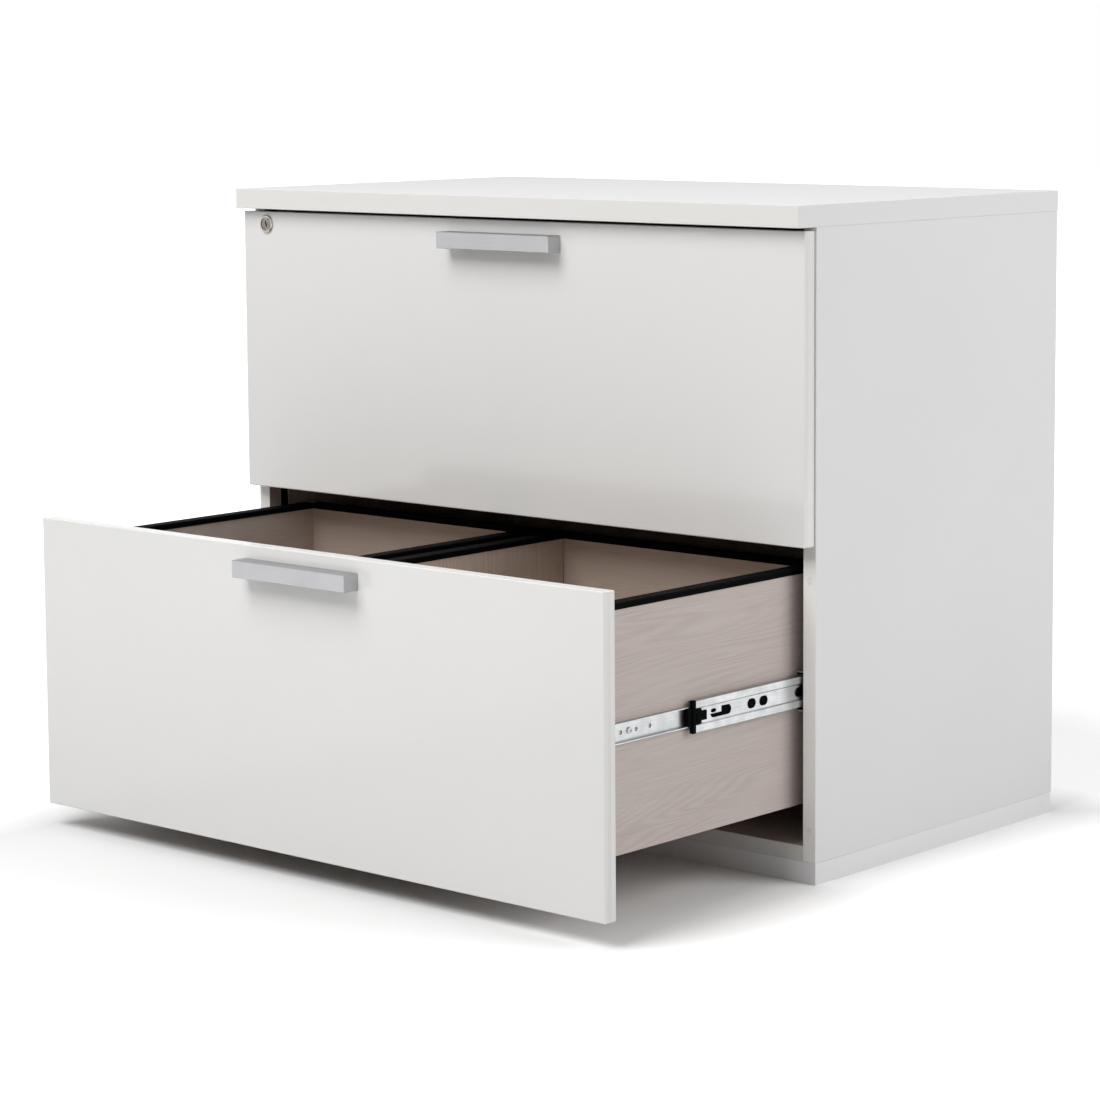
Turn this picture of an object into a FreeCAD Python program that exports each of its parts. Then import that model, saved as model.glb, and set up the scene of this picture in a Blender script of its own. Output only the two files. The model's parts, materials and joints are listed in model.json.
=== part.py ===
import FreeCAD, Part
import math
import os
import re

import Sketcher

# Two-drawer lateral filing cabinet. Millimetres, +Z up, the drawer fronts face -Y.
# The origin is on the floor, in the middle of the carcass footprint.
# The lower drawer stands open by lower_open, the upper one is shut.

SIZES = (
    # carcass boards
    ("cabinet_width", 900),
    ("cabinet_height", 766),
    ("top_thick", 25),
    ("top_front_overhang", 33),
    ("top_back_overhang", 1.5),
    ("side_thick", 18),
    ("bottom_thick", 18),
    ("back_thick", 15),
    ("plinth_height", 25),
    ("plinth_thick", 16),
    ("plinth_back_inset", 3),
    ("board_round", 0.8),
    # dowels and cam fittings
    ("dowel_diameter", 8),
    ("dowel_half_length", 15),
    ("dowel_side_depth", 12),
    ("dowel_clearance", 0.05),
    ("dowel_end_room", 1),
    ("cam_diameter", 15),
    ("cam_depth", 13),
    ("cam_inset", 24),
    ("cam_bolt_diameter", 6),
    ("cam_bolt_bite", 11),
    ("cam_clearance", 0.1),
    ("cam_notch_room", 0.4),
    # drawer fronts
    ("front_thick", 18),
    ("front_gap", 2),
    ("front_reveal", 1),
    ("front_bottom_gap", 3.2),
    ("fronts_gap", 6),
    ("front_top_gap", 3.8),
    ("front_round", 1.5),
    ("lower_open", 340),
    ("bumper_diameter", 8),
    ("bumper_thick", 1.8),
    # handles, closed above and open below for the fingers
    ("handle_length", 180),
    ("handle_height", 20),
    ("handle_projection", 22.5),
    ("handle_bar_thick", 5),
    ("handle_top_thick", 4),
    ("handle_leg", 20),
    ("handle_drop", 15),
    ("handle_round", 1.2),
    ("handle_screw_diameter", 4),
    ("handle_screw_bite", 14),
    ("handle_screw_head", 8),
    ("handle_screw_head_thick", 2.4),
    # drawer boxes
    ("slide_space", 12.7),
    ("box_thick", 15),
    ("box_inside_depth", 392.4),
    ("box_rear_gap", 59.6),
    ("box_top_drop", 23.2),
    ("box_front_drop", 29.3),
    ("box_bottom_thick", 12),
    ("box_bottom_lift", 10),
    ("lower_box_rise", 59),
    ("upper_box_rise", 49),
    ("divider_half_space", 14.4),
    ("front_screw_diameter", 4),
    ("front_screw_bite", 13),
    ("screw_clearance", 0.1),
    # file rails
    ("cap_wall", 1.5),
    ("cap_top", 1.8),
    ("cap_drop", 5.3),
    ("cap_chamfer", 0.8),
    ("cap_end_room", 0.3),
    # ball slides, depths counted inwards from the cabinet wall
    ("rail_gauge", 1.2),
    ("rail_end_room", 3.4),
    ("rail_setback", 2),
    ("slide_drop", 137),
    ("cabinet_rail_height", 45.6),
    ("cabinet_rail_depth", 10.5),
    ("middle_rail_setback", 14.5),
    ("middle_rail_end_room", 2.5),
    ("middle_rail_height", 34.5),
    ("middle_rail_start", 2.5),
    ("middle_rail_depth", 8.5),
    ("middle_band_height", 16.5),
    ("middle_band_step", 1.5),
    ("middle_slot_height", 11),
    ("lever_tab_length", 19),
    ("lever_tab_height", 6.3),
    ("lever_hole_length", 9),
    ("lever_hole_height", 4.4),
    ("lever_hole_lead", 1),
    ("middle_travel_share", 0.59),
    ("drawer_rail_height", 22.5),
    ("drawer_rail_depth", 5.7),
    ("drawer_rail_hole", 5),
    ("ball_diameter", 4),
    ("ball_clearance", 0.15),
    ("cage_gauge", 0.6),
    ("outer_cage_start", 1.5),
    ("outer_cage_depth", 7.5),
    ("outer_cage_length", 120),
    ("outer_cage_setback", 128),
    ("inner_cage_start", 5.6),
    ("inner_cage_depth", 5.4),
    ("inner_cage_length", 150),
    ("inner_cage_setback", 100),
    ("rail_screw_setback", 37),
    ("rail_screw_pitch", 128),
    ("rail_screw_diameter", 3.5),
    ("rail_screw_length", 14),
    ("rail_screw_head", 6.5),
    ("pan_head", 7.4),
    ("pan_head_thick", 1.8),
    ("middle_stop_collar", 4.5),
    ("middle_stop_depth", 4.1),
    ("middle_stop_nose", 10.5),
    ("middle_stop_nose_sink", 2.1),
    ("middle_stop_room", 0.4),
    ("middle_stop_ear", 0.75),
    ("middle_stop_ear_length", 5.2),
    ("middle_stop_ear_depth", 5),
    ("middle_clip_gap", 2),
    ("middle_clip_length", 7.5),
    ("middle_clip_link", 2.3),
    ("middle_clip_tab", 16.5),
    ("middle_clip_tab_height", 10.4),
    ("cabinet_stop_length", 6),
    ("cabinet_stop_wall", 0.6),
    ("cabinet_stop_block", 2.1),
    ("cabinet_stop_depth", 8.3),
    ("stop_clearance", 0.1),
    # lock
    ("lock_side_inset", 42),
    ("lock_top_inset", 15.5),
    ("lock_ring_diameter", 22.4),
    ("lock_ring_thick", 2.5),
    ("lock_ring_chamfer", 0.8),
    ("lock_recess_diameter", 17),
    ("lock_recess_depth", 1.6),
    ("lock_body_diameter", 19),
    ("lock_body_length", 24),
    ("lock_clearance", 0.1),
    ("plug_diameter", 14.6),
    ("plug_clearance", 0.08),
    ("plug_sink", 0.6),
    ("keyway_width", 2),
    ("keyway_height", 8),
    ("keyway_jog", 1.2),
    ("keyway_overlap", 1.5),
    ("keyway_depth", 8),
    ("nut_radius", 13),
    ("nut_thick", 4),
    ("crank_gap", 8),
    ("crank_diameter", 22),
    ("crank_thick", 2.5),
    ("crank_radius", 8),
    ("crank_pin_diameter", 4),
    ("crank_pin_length", 8.5),
    # locking bar
    ("bar_width", 12.4),
    ("bar_thick", 5),
    ("bar_sink", 0.5),
    ("bar_setback", 20.4),
    ("bar_floor_gap", 17),
    ("groove_clearance", 0.2),
    ("groove_floor_room", 0.5),
    ("tab_reach", 8),
    ("tab_height", 11.3),
    ("tab_gap", 3),
    ("fork_thick", 2.5),
    ("fork_height", 13),
    ("fork_clearance", 0.5),
    ("fork_slot_room", 1),
    ("fork_tip_gap", 1),
    ("guide_thick", 2),
    ("guide_height", 14),
    ("low_guide_drop", 166.26),
    ("middle_guide_rise", 105.96),
    ("high_guide_drop", 46.1),
    ("guide_margin", 6),
    ("guide_peg_diameter", 3),
    ("guide_peg_length", 6),
    ("hook_drop", 56.5),
    ("hook_lag", 2),
    ("hook_plate_thick", 2),
    ("hook_plate_length", 24),
    ("hook_plate_height", 30),
    ("hook_lip_reach", 7.7),
    ("hook_lip_thick", 3),
    ("hook_lip_height", 15),
    # how far each cutting shape runs past the faces it opens
    ("overrun", 1),
)

# Places along a length, as shares of it.
dowel_depth_shares = (-0.21, 0.21)
cam_depth_shares = (-0.375, 0.375)
plinth_depth_shares = (-0.31, 0.31)
plinth_width_shares = (-0.28, 0.28)
back_dowel_shares = (0.22, 0.8)
bumper_height_shares = (0.05, 0.449, 0.549, 0.948)
drawer_screw_shares = (0.1275, 0.45, 0.8)
drawer_hole_shares = (0.0925, 0.155, 0.2125, 0.52, 0.6)
middle_slot_start_shares = (0.068, 0.236, 0.291, 0.457, 0.78)
middle_slot_length_shares = (0.094, 0.039, 0.039, 0.062, 0.062)
ball_shares = (0.08, 0.248, 0.416, 0.584, 0.752, 0.92)
front_screw_width_shares = (-0.36, 0.36)
front_screw_height_shares = (0.25, 0.8)
hook_screw_share = 0.7
hook_screw_height_shares = (0.3, 0.75)

CABINET_SCREWS = 3
LEFT = -1
RIGHT = 1
HANDS = (LEFT, RIGHT)
HAND_NAMES = {LEFT: "left", RIGHT: "right"}

ALIASES = {alias for alias, value in SIZES}
WORD = re.compile(r"[a-z][a-z0-9_]*")
TURNS = {
    "x": FreeCAD.Rotation(FreeCAD.Vector(0, 1, 0), 90),
    "y": FreeCAD.Rotation(FreeCAD.Vector(1, 0, 0), -90),
    "z": FreeCAD.Rotation(),
}

doc = FreeCAD.newDocument("filing_cabinet")
sheet = doc.addObject("Spreadsheet::Sheet", "sizes")
for row, (alias, value) in enumerate(SIZES, 1):
    sheet.set(f"A{row}", alias)
    sheet.set(f"B{row}", str(value))
    sheet.setAlias(f"B{row}", alias)
doc.recompute()

nodes = []
holes = {}


# Formulas, bound to the sheet

def formula(text):
    """Point every size that a formula names at its cell."""
    return WORD.sub(lambda found: f"sizes.{found[0]}" if found[0] in ALIASES else found[0], str(text))


def bind(thing, **formulas):
    for name, text in formulas.items():
        thing.setExpression(name, formula(text))


def place(thing, x, y, z):
    for axis, text in zip("xyz", (x, y, z)):
        thing.setExpression(f".Placement.Base.{axis}", formula(text))


def node(label, thing):
    """Hand a finished sub-part in under its own name."""
    thing.Label = label
    nodes.append(thing)
    return thing


# Shapes

def block(name, low, size):
    """A box from its lowest corner and its three sizes."""
    thing = doc.addObject("Part::Box", name)
    bind(thing, Length=size[0], Width=size[1], Height=size[2])
    place(thing, *low)
    return thing


def rod(name, diameter, length, start, along):
    """A cylinder that starts at a point and runs along +x, +y or +z."""
    thing = doc.addObject("Part::Cylinder", name)
    thing.Placement = FreeCAD.Placement(FreeCAD.Vector(), TURNS[along])
    bind(thing, Radius=f"({diameter}) / 2", Height=length)
    place(thing, *start)
    return thing


def cone(name, start_diameter, end_diameter, length, start, along):
    """A cone that starts at a point and runs along +x, +y or +z."""
    thing = doc.addObject("Part::Cone", name)
    thing.Placement = FreeCAD.Placement(FreeCAD.Vector(), TURNS[along])
    bind(thing, Radius1=f"({start_diameter}) / 2", Radius2=f"({end_diameter}) / 2", Height=length)
    place(thing, *start)
    return thing


def ball(name, x, y, z):
    thing = doc.addObject("Part::Sphere", name)
    bind(thing, Radius="ball_diameter / 2")
    place(thing, x, y, z)
    return thing


def group(name, things):
    thing = doc.addObject("Part::Compound", name)
    thing.Links = list(things)
    return thing


def fuse(name, things):
    thing = doc.addObject("Part::MultiFuse", name)
    thing.Shapes = list(things)
    return thing


def cut(name, base, tools):
    thing = doc.addObject("Part::Cut", name)
    thing.Base = base
    thing.Tool = group(f"{name}_tools", tools)
    return thing


def sketch(body, plane, points):
    """A closed outline: its corners start on a unit circle and their bound distances draw them into place."""
    drawn = body.newObject("Sketcher::SketchObject", f"{body.Name}_outline")
    origin_plane = [part for part in body.Origin.OriginFeatures if part.Role == plane][0]
    drawn.AttachmentSupport = [(origin_plane, "")]
    drawn.MapMode = "FlatFace"
    turns = [2 * math.pi * index / len(points) for index in range(len(points))]
    corners = [FreeCAD.Vector(math.cos(turn), math.sin(turn), 0) for turn in turns]
    for index, corner in enumerate(corners):
        after = corners[(index + 1) % len(corners)]
        drawn.addGeometry(Part.LineSegment(corner, after), False)
    for index in range(len(corners)):
        drawn.addConstraint(Sketcher.Constraint("Coincident", index, 2, (index + 1) % len(corners), 1))
    for index, (corner, (across, up)) in enumerate(zip(corners, points)):
        for kind, start, text in (("DistanceX", corner.x, across), ("DistanceY", corner.y, up)):
            rule = drawn.addConstraint(Sketcher.Constraint(kind, -1, 1, index, 1, start))
            drawn.setExpression(f"Constraints[{rule}]", formula(text))
    return drawn


def pad(name, plane, points, length, low, rounding=None, flip=False):
    """An outline drawn on a plane of its own body and carried along the plane's normal."""
    body = doc.addObject("PartDesign::Body", name)
    feature = body.newObject("PartDesign::Pad", f"{name}_pad")
    feature.Profile = sketch(body, plane, points)
    feature.Reversed = flip
    bind(feature, Length=length)
    if rounding:
        fillet = body.newObject("PartDesign::Fillet", f"{name}_fillet")
        fillet.Base = (feature, [])
        fillet.UseAllEdges = True
        bind(fillet, Radius=rounding)
    place(body, *low)
    return body


def rounded_board(name, low, size, rounding):
    wide, deep, high = size
    points = (("0", "0"), (wide, "0"), (wide, deep), ("0", deep))
    return pad(name, "XY_Plane", points, high, low, rounding)


# Holes are gathered by board and cut when the board is finished

def drill(board, thing):
    holes.setdefault(board, []).append(thing)


def finish(board, blank):
    """Cut a board's holes and hand it in."""
    tools = holes.get(board)
    if not tools:
        return node(board, blank)
    return node(board, cut(f"{board}_drilled", blank, tools))


# Shared places

HALF_WIDTH = "(cabinet_width / 2)"
HALF_INSIDE = "(cabinet_width / 2 - side_thick)"
BOX_LENGTH = "(box_inside_depth + box_thick)"
CABINET_DEPTH = f"({BOX_LENGTH} - front_gap + box_rear_gap + back_thick)"
FACE = f"(-{CABINET_DEPTH} / 2)"
REAR = f"({CABINET_DEPTH} / 2)"
TOP_UNDER = "(cabinet_height - top_thick)"
FLOOR_TOP = "(plinth_height + bottom_thick)"
FLOOR_MIDDLE = "(plinth_height + bottom_thick / 2)"
SIDE_HEIGHT = f"({TOP_UNDER} - plinth_height)"
INSIDE_HEIGHT = f"({TOP_UNDER} - {FLOOR_TOP})"
FRONT_HEIGHT = f"(({SIDE_HEIGHT} - front_bottom_gap - fronts_gap - front_top_gap) / 2)"
LOWER_FRONT_Z = "(plinth_height + front_bottom_gap)"
UPPER_FRONT_Z = f"({LOWER_FRONT_Z} + {FRONT_HEIGHT} + fronts_gap)"
FRONT_HALF = f"({HALF_WIDTH} - front_reveal)"
BOX_HALF = f"({HALF_INSIDE} - slide_space)"
BOX_INSIDE = f"({BOX_HALF} - box_thick)"
BOX_HEIGHT = f"({FRONT_HEIGHT} - lower_box_rise - box_top_drop)"
RAIL_FRONT = f"({FACE} + rail_setback)"
RAIL_LENGTH = f"({BOX_LENGTH} - front_gap - rail_setback - rail_end_room)"
MIDDLE_LENGTH = f"({RAIL_LENGTH} + rail_setback - middle_rail_setback - middle_rail_end_room)"
LOCK_X = f"(lock_side_inset - {FRONT_HALF})"
LOCK_Z = f"({UPPER_FRONT_Z} + {FRONT_HEIGHT} - lock_top_inset)"
BAR_FRONT = f"({FACE} + bar_setback)"
BAR_LOW_X = f"(-{HALF_INSIDE} - bar_sink - bar_thick)"
PIN_SHIFT = "(crank_radius / sqrt(2))"
FORK_MIDDLE = f"({LOCK_Z} - {PIN_SHIFT})"
SHUT_Y = f"({FACE} - front_gap)"
SCREW_ROOM = "(rail_screw_diameter + 2 * screw_clearance)"


def span(hand, near, far):
    """The lowest x of what lies between two depths from the cabinet wall on one hand."""
    if hand == RIGHT:
        return f"({HALF_INSIDE} - ({far}))"
    return f"(({near}) - {HALF_INSIDE})"


def at_depth(hand, depth):
    """The x that lies at a depth from the cabinet wall on one hand."""
    return f"({hand}) * ({HALF_INSIDE} - ({depth}))"


def wall_rod(name, hand, diameter, near, far, y, z):
    """A cylinder square to the cabinet wall, between two depths."""
    return rod(name, diameter, f"({far}) - ({near})", (span(hand, near, far), y, z), "x")


def wall_cone(name, hand, near_diameter, far_diameter, near, far, y, z):
    """A cone square to the cabinet wall, between two depths."""
    ends = (near_diameter, far_diameter)
    if hand == RIGHT:
        ends = (far_diameter, near_diameter)
    return cone(name, *ends, f"({far}) - ({near})", (span(hand, near, far), y, z), "x")


# Dowels and cam fittings

dowels = []
fittings = []


def dowel(name, low, length, along, boards):
    """A wooden dowel, with its hole in both boards that it joins."""
    dowels.append(rod(name, "dowel_diameter", length, low, along))
    start = list(low)
    axis = "xyz".index(along)
    start[axis] = f"({low[axis]}) - dowel_end_room"
    for board in boards:
        hole_run = f"({length}) + 2 * dowel_end_room"
        drill(board, rod(f"{name}_hole", "dowel_diameter + 2 * dowel_clearance", hole_run, start, along))


def cam_hole(name, board, low, along):
    wide = "cam_diameter + 2 * cam_clearance"
    drill(board, rod(name, wide, "cam_depth + overrun", low, along))


def add_dowels():
    side_run = "dowel_half_length + dowel_side_depth"
    for hand in HANDS:
        side = f"{HAND_NAMES[hand]}_side_panel"
        plinth = f"plinth_{HAND_NAMES[hand]}"
        middle_x = f"({hand}) * ({HALF_WIDTH} - side_thick / 2)"
        plinth_x = f"({hand}) * ({HALF_WIDTH} - plinth_thick / 2)"
        across_x = span(hand, "-dowel_side_depth", "dowel_half_length")
        for index, share in enumerate(dowel_depth_shares):
            y = f"{CABINET_DEPTH} * {share}"
            low = (middle_x, y, f"{TOP_UNDER} - dowel_half_length")
            dowel(f"top_dowel_{side}_{index}", low, side_run, "z", ("top_panel", side))
            low = (across_x, y, FLOOR_MIDDLE)
            dowel(f"floor_dowel_{side}_{index}", low, side_run, "x", ("bottom_panel", side))
        for index, share in enumerate(back_dowel_shares):
            low = (across_x, f"{REAR} - back_thick / 2", f"{FLOOR_TOP} + {INSIDE_HEIGHT} * {share}")
            dowel(f"back_dowel_{side}_{index}", low, side_run, "x", ("back_panel", side))
        for index, share in enumerate(plinth_depth_shares):
            low = (plinth_x, f"{CABINET_DEPTH} * {share}", "plinth_height - dowel_half_length")
            dowel(f"plinth_dowel_{side}_{index}", low, side_run, "z", (plinth, side))
    for plinth, y in (("plinth_front", f"{FACE} + plinth_thick / 2"),
                      ("plinth_back", f"{REAR} - plinth_back_inset - plinth_thick / 2")):
        for index, share in enumerate(plinth_width_shares):
            low = (f"cabinet_width * {share}", y, "plinth_height - dowel_half_length")
            dowel(f"{plinth}_dowel_{index}", low, side_run, "z", (plinth, "bottom_panel"))


def add_cams():
    """Round cams let into one board, each drawing in a bolt that is screwed into the other."""
    bolt_run = "cam_inset + cam_bolt_bite"
    bolt_room = "cam_bolt_diameter + 2 * cam_clearance"
    notch = "cam_bolt_diameter + 2 * cam_notch_room"
    for hand in HANDS:
        side = f"{HAND_NAMES[hand]}_side_panel"
        middle_x = f"({hand}) * ({HALF_WIDTH} - side_thick / 2)"
        for index, share in enumerate(cam_depth_shares):
            y = f"{CABINET_DEPTH} * {share}"
            cam_z = f"{TOP_UNDER} - cam_inset"
            name = f"top_cam_{side}_{index}"
            disc = wall_rod(f"{name}_disc", hand, "cam_diameter", "-cam_depth", "0", y, cam_z)
            bolt_low = (middle_x, y, cam_z)
            notch_low = (middle_x, y, f"{cam_z} - cam_notch_room")
            slot = rod(f"{name}_slot", notch, "cam_diameter", notch_low, "z")
            fittings.append(cut(f"{name}_cam", disc, [slot]))
            fittings.append(rod(f"{name}_bolt", "cam_bolt_diameter", bolt_run, bolt_low, "z"))
            cam_hole(f"{name}_seat", side, (span(hand, "-cam_depth", "overrun"), y, cam_z), "x")
            drill(side, rod(f"{name}_bore", bolt_room, "cam_inset + overrun", bolt_low, "z"))
            bite_low = (middle_x, y, f"{TOP_UNDER} - overrun")
            bite_run = "cam_bolt_bite + overrun + cam_clearance"
            drill("top_panel", rod(f"{name}_bite", bolt_room, bite_run, bite_low, "z"))

            name = f"floor_cam_{side}_{index}"
            cam_x = f"({hand}) * ({HALF_INSIDE} - cam_inset)"
            disc = rod(f"{name}_disc", "cam_diameter", "cam_depth", (cam_x, y, "plinth_height"), "z")
            bolt_low = (span(hand, "-cam_bolt_bite", "cam_inset"), y, FLOOR_MIDDLE)
            slot = wall_rod(f"{name}_slot", hand, notch, "cam_inset - cam_diameter",
                            "cam_inset + cam_notch_room", y, FLOOR_MIDDLE)
            fittings.append(cut(f"{name}_cam", disc, [slot]))
            fittings.append(rod(f"{name}_bolt", "cam_bolt_diameter", bolt_run, bolt_low, "x"))
            cam_hole(f"{name}_seat", "bottom_panel", (cam_x, y, "plinth_height - overrun"), "z")
            drill("bottom_panel", wall_rod(f"{name}_bore", hand, bolt_room, "-overrun", "cam_inset",
                                           y, FLOOR_MIDDLE))
            bite_end = "-cam_bolt_bite - cam_clearance"
            drill(side, wall_rod(f"{name}_bite", hand, bolt_room, bite_end, "overrun", y, FLOOR_MIDDLE))


# Carcass

def add_plinth():
    """Four mitred boards and one across the middle, on the floor."""
    back = f"({REAR} - plinth_back_inset)"
    outer = ((f"-{HALF_WIDTH}", FACE), (HALF_WIDTH, FACE), (HALF_WIDTH, back), (f"-{HALF_WIDTH}", back))
    inner_x = f"({HALF_WIDTH} - plinth_thick)"
    inner_front = f"({FACE} + plinth_thick)"
    inner_back = f"({back} - plinth_thick)"
    inner = ((f"-{inner_x}", inner_front), (inner_x, inner_front), (inner_x, inner_back),
             (f"-{inner_x}", inner_back))
    for index, label in enumerate(("plinth_front", "plinth_right", "plinth_back", "plinth_left")):
        after = (index + 1) % len(outer)
        points = (outer[index], outer[after], inner[after], inner[index])
        finish(label, pad(f"{label}_board", "XY_Plane", points, "plinth_height", ("0", "0", "0")))
    node("plinth_centre", block("plinth_centre_board", ("-plinth_thick / 2", inner_front, "0"),
                                ("plinth_thick", f"{inner_back} - {inner_front}", "plinth_height")))


def add_carcass():
    low = (f"-{HALF_WIDTH}", f"{FACE} - top_front_overhang", TOP_UNDER)
    size = ("cabinet_width", f"{CABINET_DEPTH} + top_front_overhang + top_back_overhang", "top_thick")
    finish("top_panel", rounded_board("top_board", low, size, "board_round"))
    for hand in HANDS:
        label = f"{HAND_NAMES[hand]}_side_panel"
        low = (span(hand, "-side_thick", "0"), FACE, "plinth_height")
        size = ("side_thick", CABINET_DEPTH, SIDE_HEIGHT)
        finish(label, rounded_board(f"{label}_board", low, size, "board_round"))
    low = (f"-{HALF_INSIDE}", FACE, "plinth_height")
    size = (f"2 * {HALF_INSIDE}", CABINET_DEPTH, "bottom_thick")
    finish("bottom_panel", block("bottom_board", low, size))
    low = (f"-{HALF_INSIDE}", f"{REAR} - back_thick", FLOOR_TOP)
    size = (f"2 * {HALF_INSIDE}", "back_thick", INSIDE_HEIGHT)
    finish("back_panel", block("back_board", low, size))


def bumper_pads():
    """Clear pads on the front edges of the side panels, which the shut fronts meet."""
    pads = []
    for hand in HANDS:
        for index, share in enumerate(bumper_height_shares):
            start = (f"({hand}) * ({HALF_WIDTH} - side_thick / 2)", f"{FACE} - bumper_thick",
                     f"plinth_height + {SIDE_HEIGHT} * {share}")
            name = f"bumper_{HAND_NAMES[hand]}_{index}"
            pads.append(rod(name, "bumper_diameter", "bumper_thick", start, "y"))
    return pads


# Ball slides

def rail_pad(name, hand, profile, front, length, middle_z):
    """A profile of wall depths and heights, carried from its front end backwards."""
    points = [(at_depth(hand, depth), height) for depth, height in profile]
    return pad(name, "XZ_Plane", points, length, ("0", front, middle_z), flip=True)


def channel(back_near, back_far, tip, half, gauge):
    """The outline of a channel: its back lies between two depths, its flanges reach a third."""
    inner = f"({half} - {gauge})"
    return ((tip, half), (back_near, half), (back_near, f"-{half}"), (tip, f"-{half}"),
            (tip, f"-{inner}"), (back_far, f"-{inner}"), (back_far, inner), (tip, inner))


def middle_profile():
    """A channel whose web steps inwards along a middle band."""
    half = "(middle_rail_height / 2)"
    inner = f"({half} - rail_gauge)"
    start = "middle_rail_start"
    tip = "(middle_rail_start + middle_rail_depth)"
    band = "(middle_band_height / 2)"
    turn = "(rail_gauge * (sqrt(2) - 1))"
    behind = "(middle_rail_start + rail_gauge)"
    upper_outside = ((tip, half), (start, half), (start, f"({band} + middle_band_step)"),
                     ("(middle_rail_start + middle_band_step)", band))
    upper_inside = (("(middle_rail_start + middle_band_step + rail_gauge)", f"({band} + {turn})"),
                    (behind, f"({band} + middle_band_step + {turn})"), (behind, inner), (tip, inner))
    lower_outside = [(depth, f"-{height}") for depth, height in reversed(upper_outside)]
    lower_inside = [(depth, f"-{height}") for depth, height in reversed(upper_inside)]
    return (*upper_outside, *lower_outside, *lower_inside, *upper_inside)


def add_cabinet_rail(prefix, hand, middle_z):
    """The outer channel, its countersunk screws and its plastic front stop."""
    name = f"{prefix}_{HAND_NAMES[hand]}_cabinet_rail"
    profile = channel("0", "rail_gauge", "cabinet_rail_depth", "(cabinet_rail_height / 2)", "rail_gauge")
    blank = rail_pad(f"{name}_channel", hand, profile, RAIL_FRONT, RAIL_LENGTH, middle_z)
    seats = []
    for index in range(CABINET_SCREWS):
        y = f"{RAIL_FRONT} + rail_screw_setback + rail_screw_pitch * {index}"
        head = wall_cone(f"{name}_head_{index}", hand, "rail_screw_diameter", "rail_screw_head",
                         "0", "rail_gauge", y, middle_z)
        shank = wall_rod(f"{name}_shank_{index}", hand, "rail_screw_diameter", "-rail_screw_length", "0",
                         y, middle_z)
        cabinet_screws.append(fuse(f"{name}_screw_{index}", (head, shank)))
        seats.append(wall_cone(f"{name}_seat_{index}", hand, SCREW_ROOM,
                               "rail_screw_head + 2 * screw_clearance", "0", "rail_gauge", y, middle_z))
        pilot = wall_rod(f"{name}_pilot_{index}", hand, SCREW_ROOM,
                         "-rail_screw_length - screw_clearance", "overrun", y, middle_z)
        drill(f"{HAND_NAMES[hand]}_side_panel", pilot)
    top = "(cabinet_rail_height / 2 - rail_gauge - stop_clearance)"
    web = "(rail_gauge + cabinet_stop_wall)"
    tip = "(rail_gauge + cabinet_stop_depth)"
    step = f"({top} - cabinet_stop_block)"
    stop = (("rail_gauge", top), (tip, top), (tip, step), (web, step), (web, f"-{step}"), (tip, f"-{step}"),
            (tip, f"-{top}"), ("rail_gauge", f"-{top}"))
    cabinet_stops.append(rail_pad(f"{name}_stop", hand, stop, RAIL_FRONT, "cabinet_stop_length", middle_z))
    return cut(name, blank, seats)


def round_slot(name, hand, near, far, start, length, height, middle_z):
    """A slot with round ends, square to the cabinet wall, between two depths."""
    first = f"({start} + {height} / 2)"
    run = f"({length} - {height})"
    low = (span(hand, near, far), first, f"{middle_z} - {height} / 2")
    window = block(f"{name}_window", low, (f"{far} - {near}", run, height))
    ends = [wall_rod(f"{name}_end_{end}", hand, height, near, far, y, middle_z)
            for end, y in enumerate((first, f"{first} + {run}"))]
    return fuse(name, (window, *ends))


def middle_rail(name, hand, front, middle_z):
    """The middle channel, with its row of slots: a tab with a hole is left standing in the first one."""
    blank = rail_pad(f"{name}_channel", hand, middle_profile(), front, MIDDLE_LENGTH, middle_z)
    near = "(middle_rail_start - overrun)"
    far = "(middle_rail_start + middle_band_step + rail_gauge + overrun)"
    starts = [f"({front} + {MIDDLE_LENGTH} * {share})" for share in middle_slot_start_shares]
    slots = [round_slot(f"{name}_slot_{index}", hand, near, far, start, f"({MIDDLE_LENGTH} * {length})",
                        "middle_slot_height", middle_z)
             for index, (start, length) in enumerate(zip(starts, middle_slot_length_shares))]
    tab_near = f"({near} - overrun)"
    tab_far = f"({far} + overrun)"
    tab_top = f"({middle_z} + middle_slot_height / 2)"
    tab_low = (span(hand, tab_near, tab_far), f"{starts[0]} - overrun", f"{tab_top} - lever_tab_height")
    tab_size = (f"{tab_far} - {tab_near}", "lever_tab_length + overrun", "lever_tab_height + overrun")
    tab = block(f"{name}_tab", tab_low, tab_size)
    slots[0] = cut(f"{name}_lever_slot", slots[0], [tab])
    slots.append(round_slot(f"{name}_tab_hole", hand, near, far, f"({starts[0]} + lever_hole_lead)",
                            "lever_hole_length", "lever_hole_height", f"({tab_top} - lever_tab_height / 2)"))
    return cut(name, blank, slots)


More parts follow.
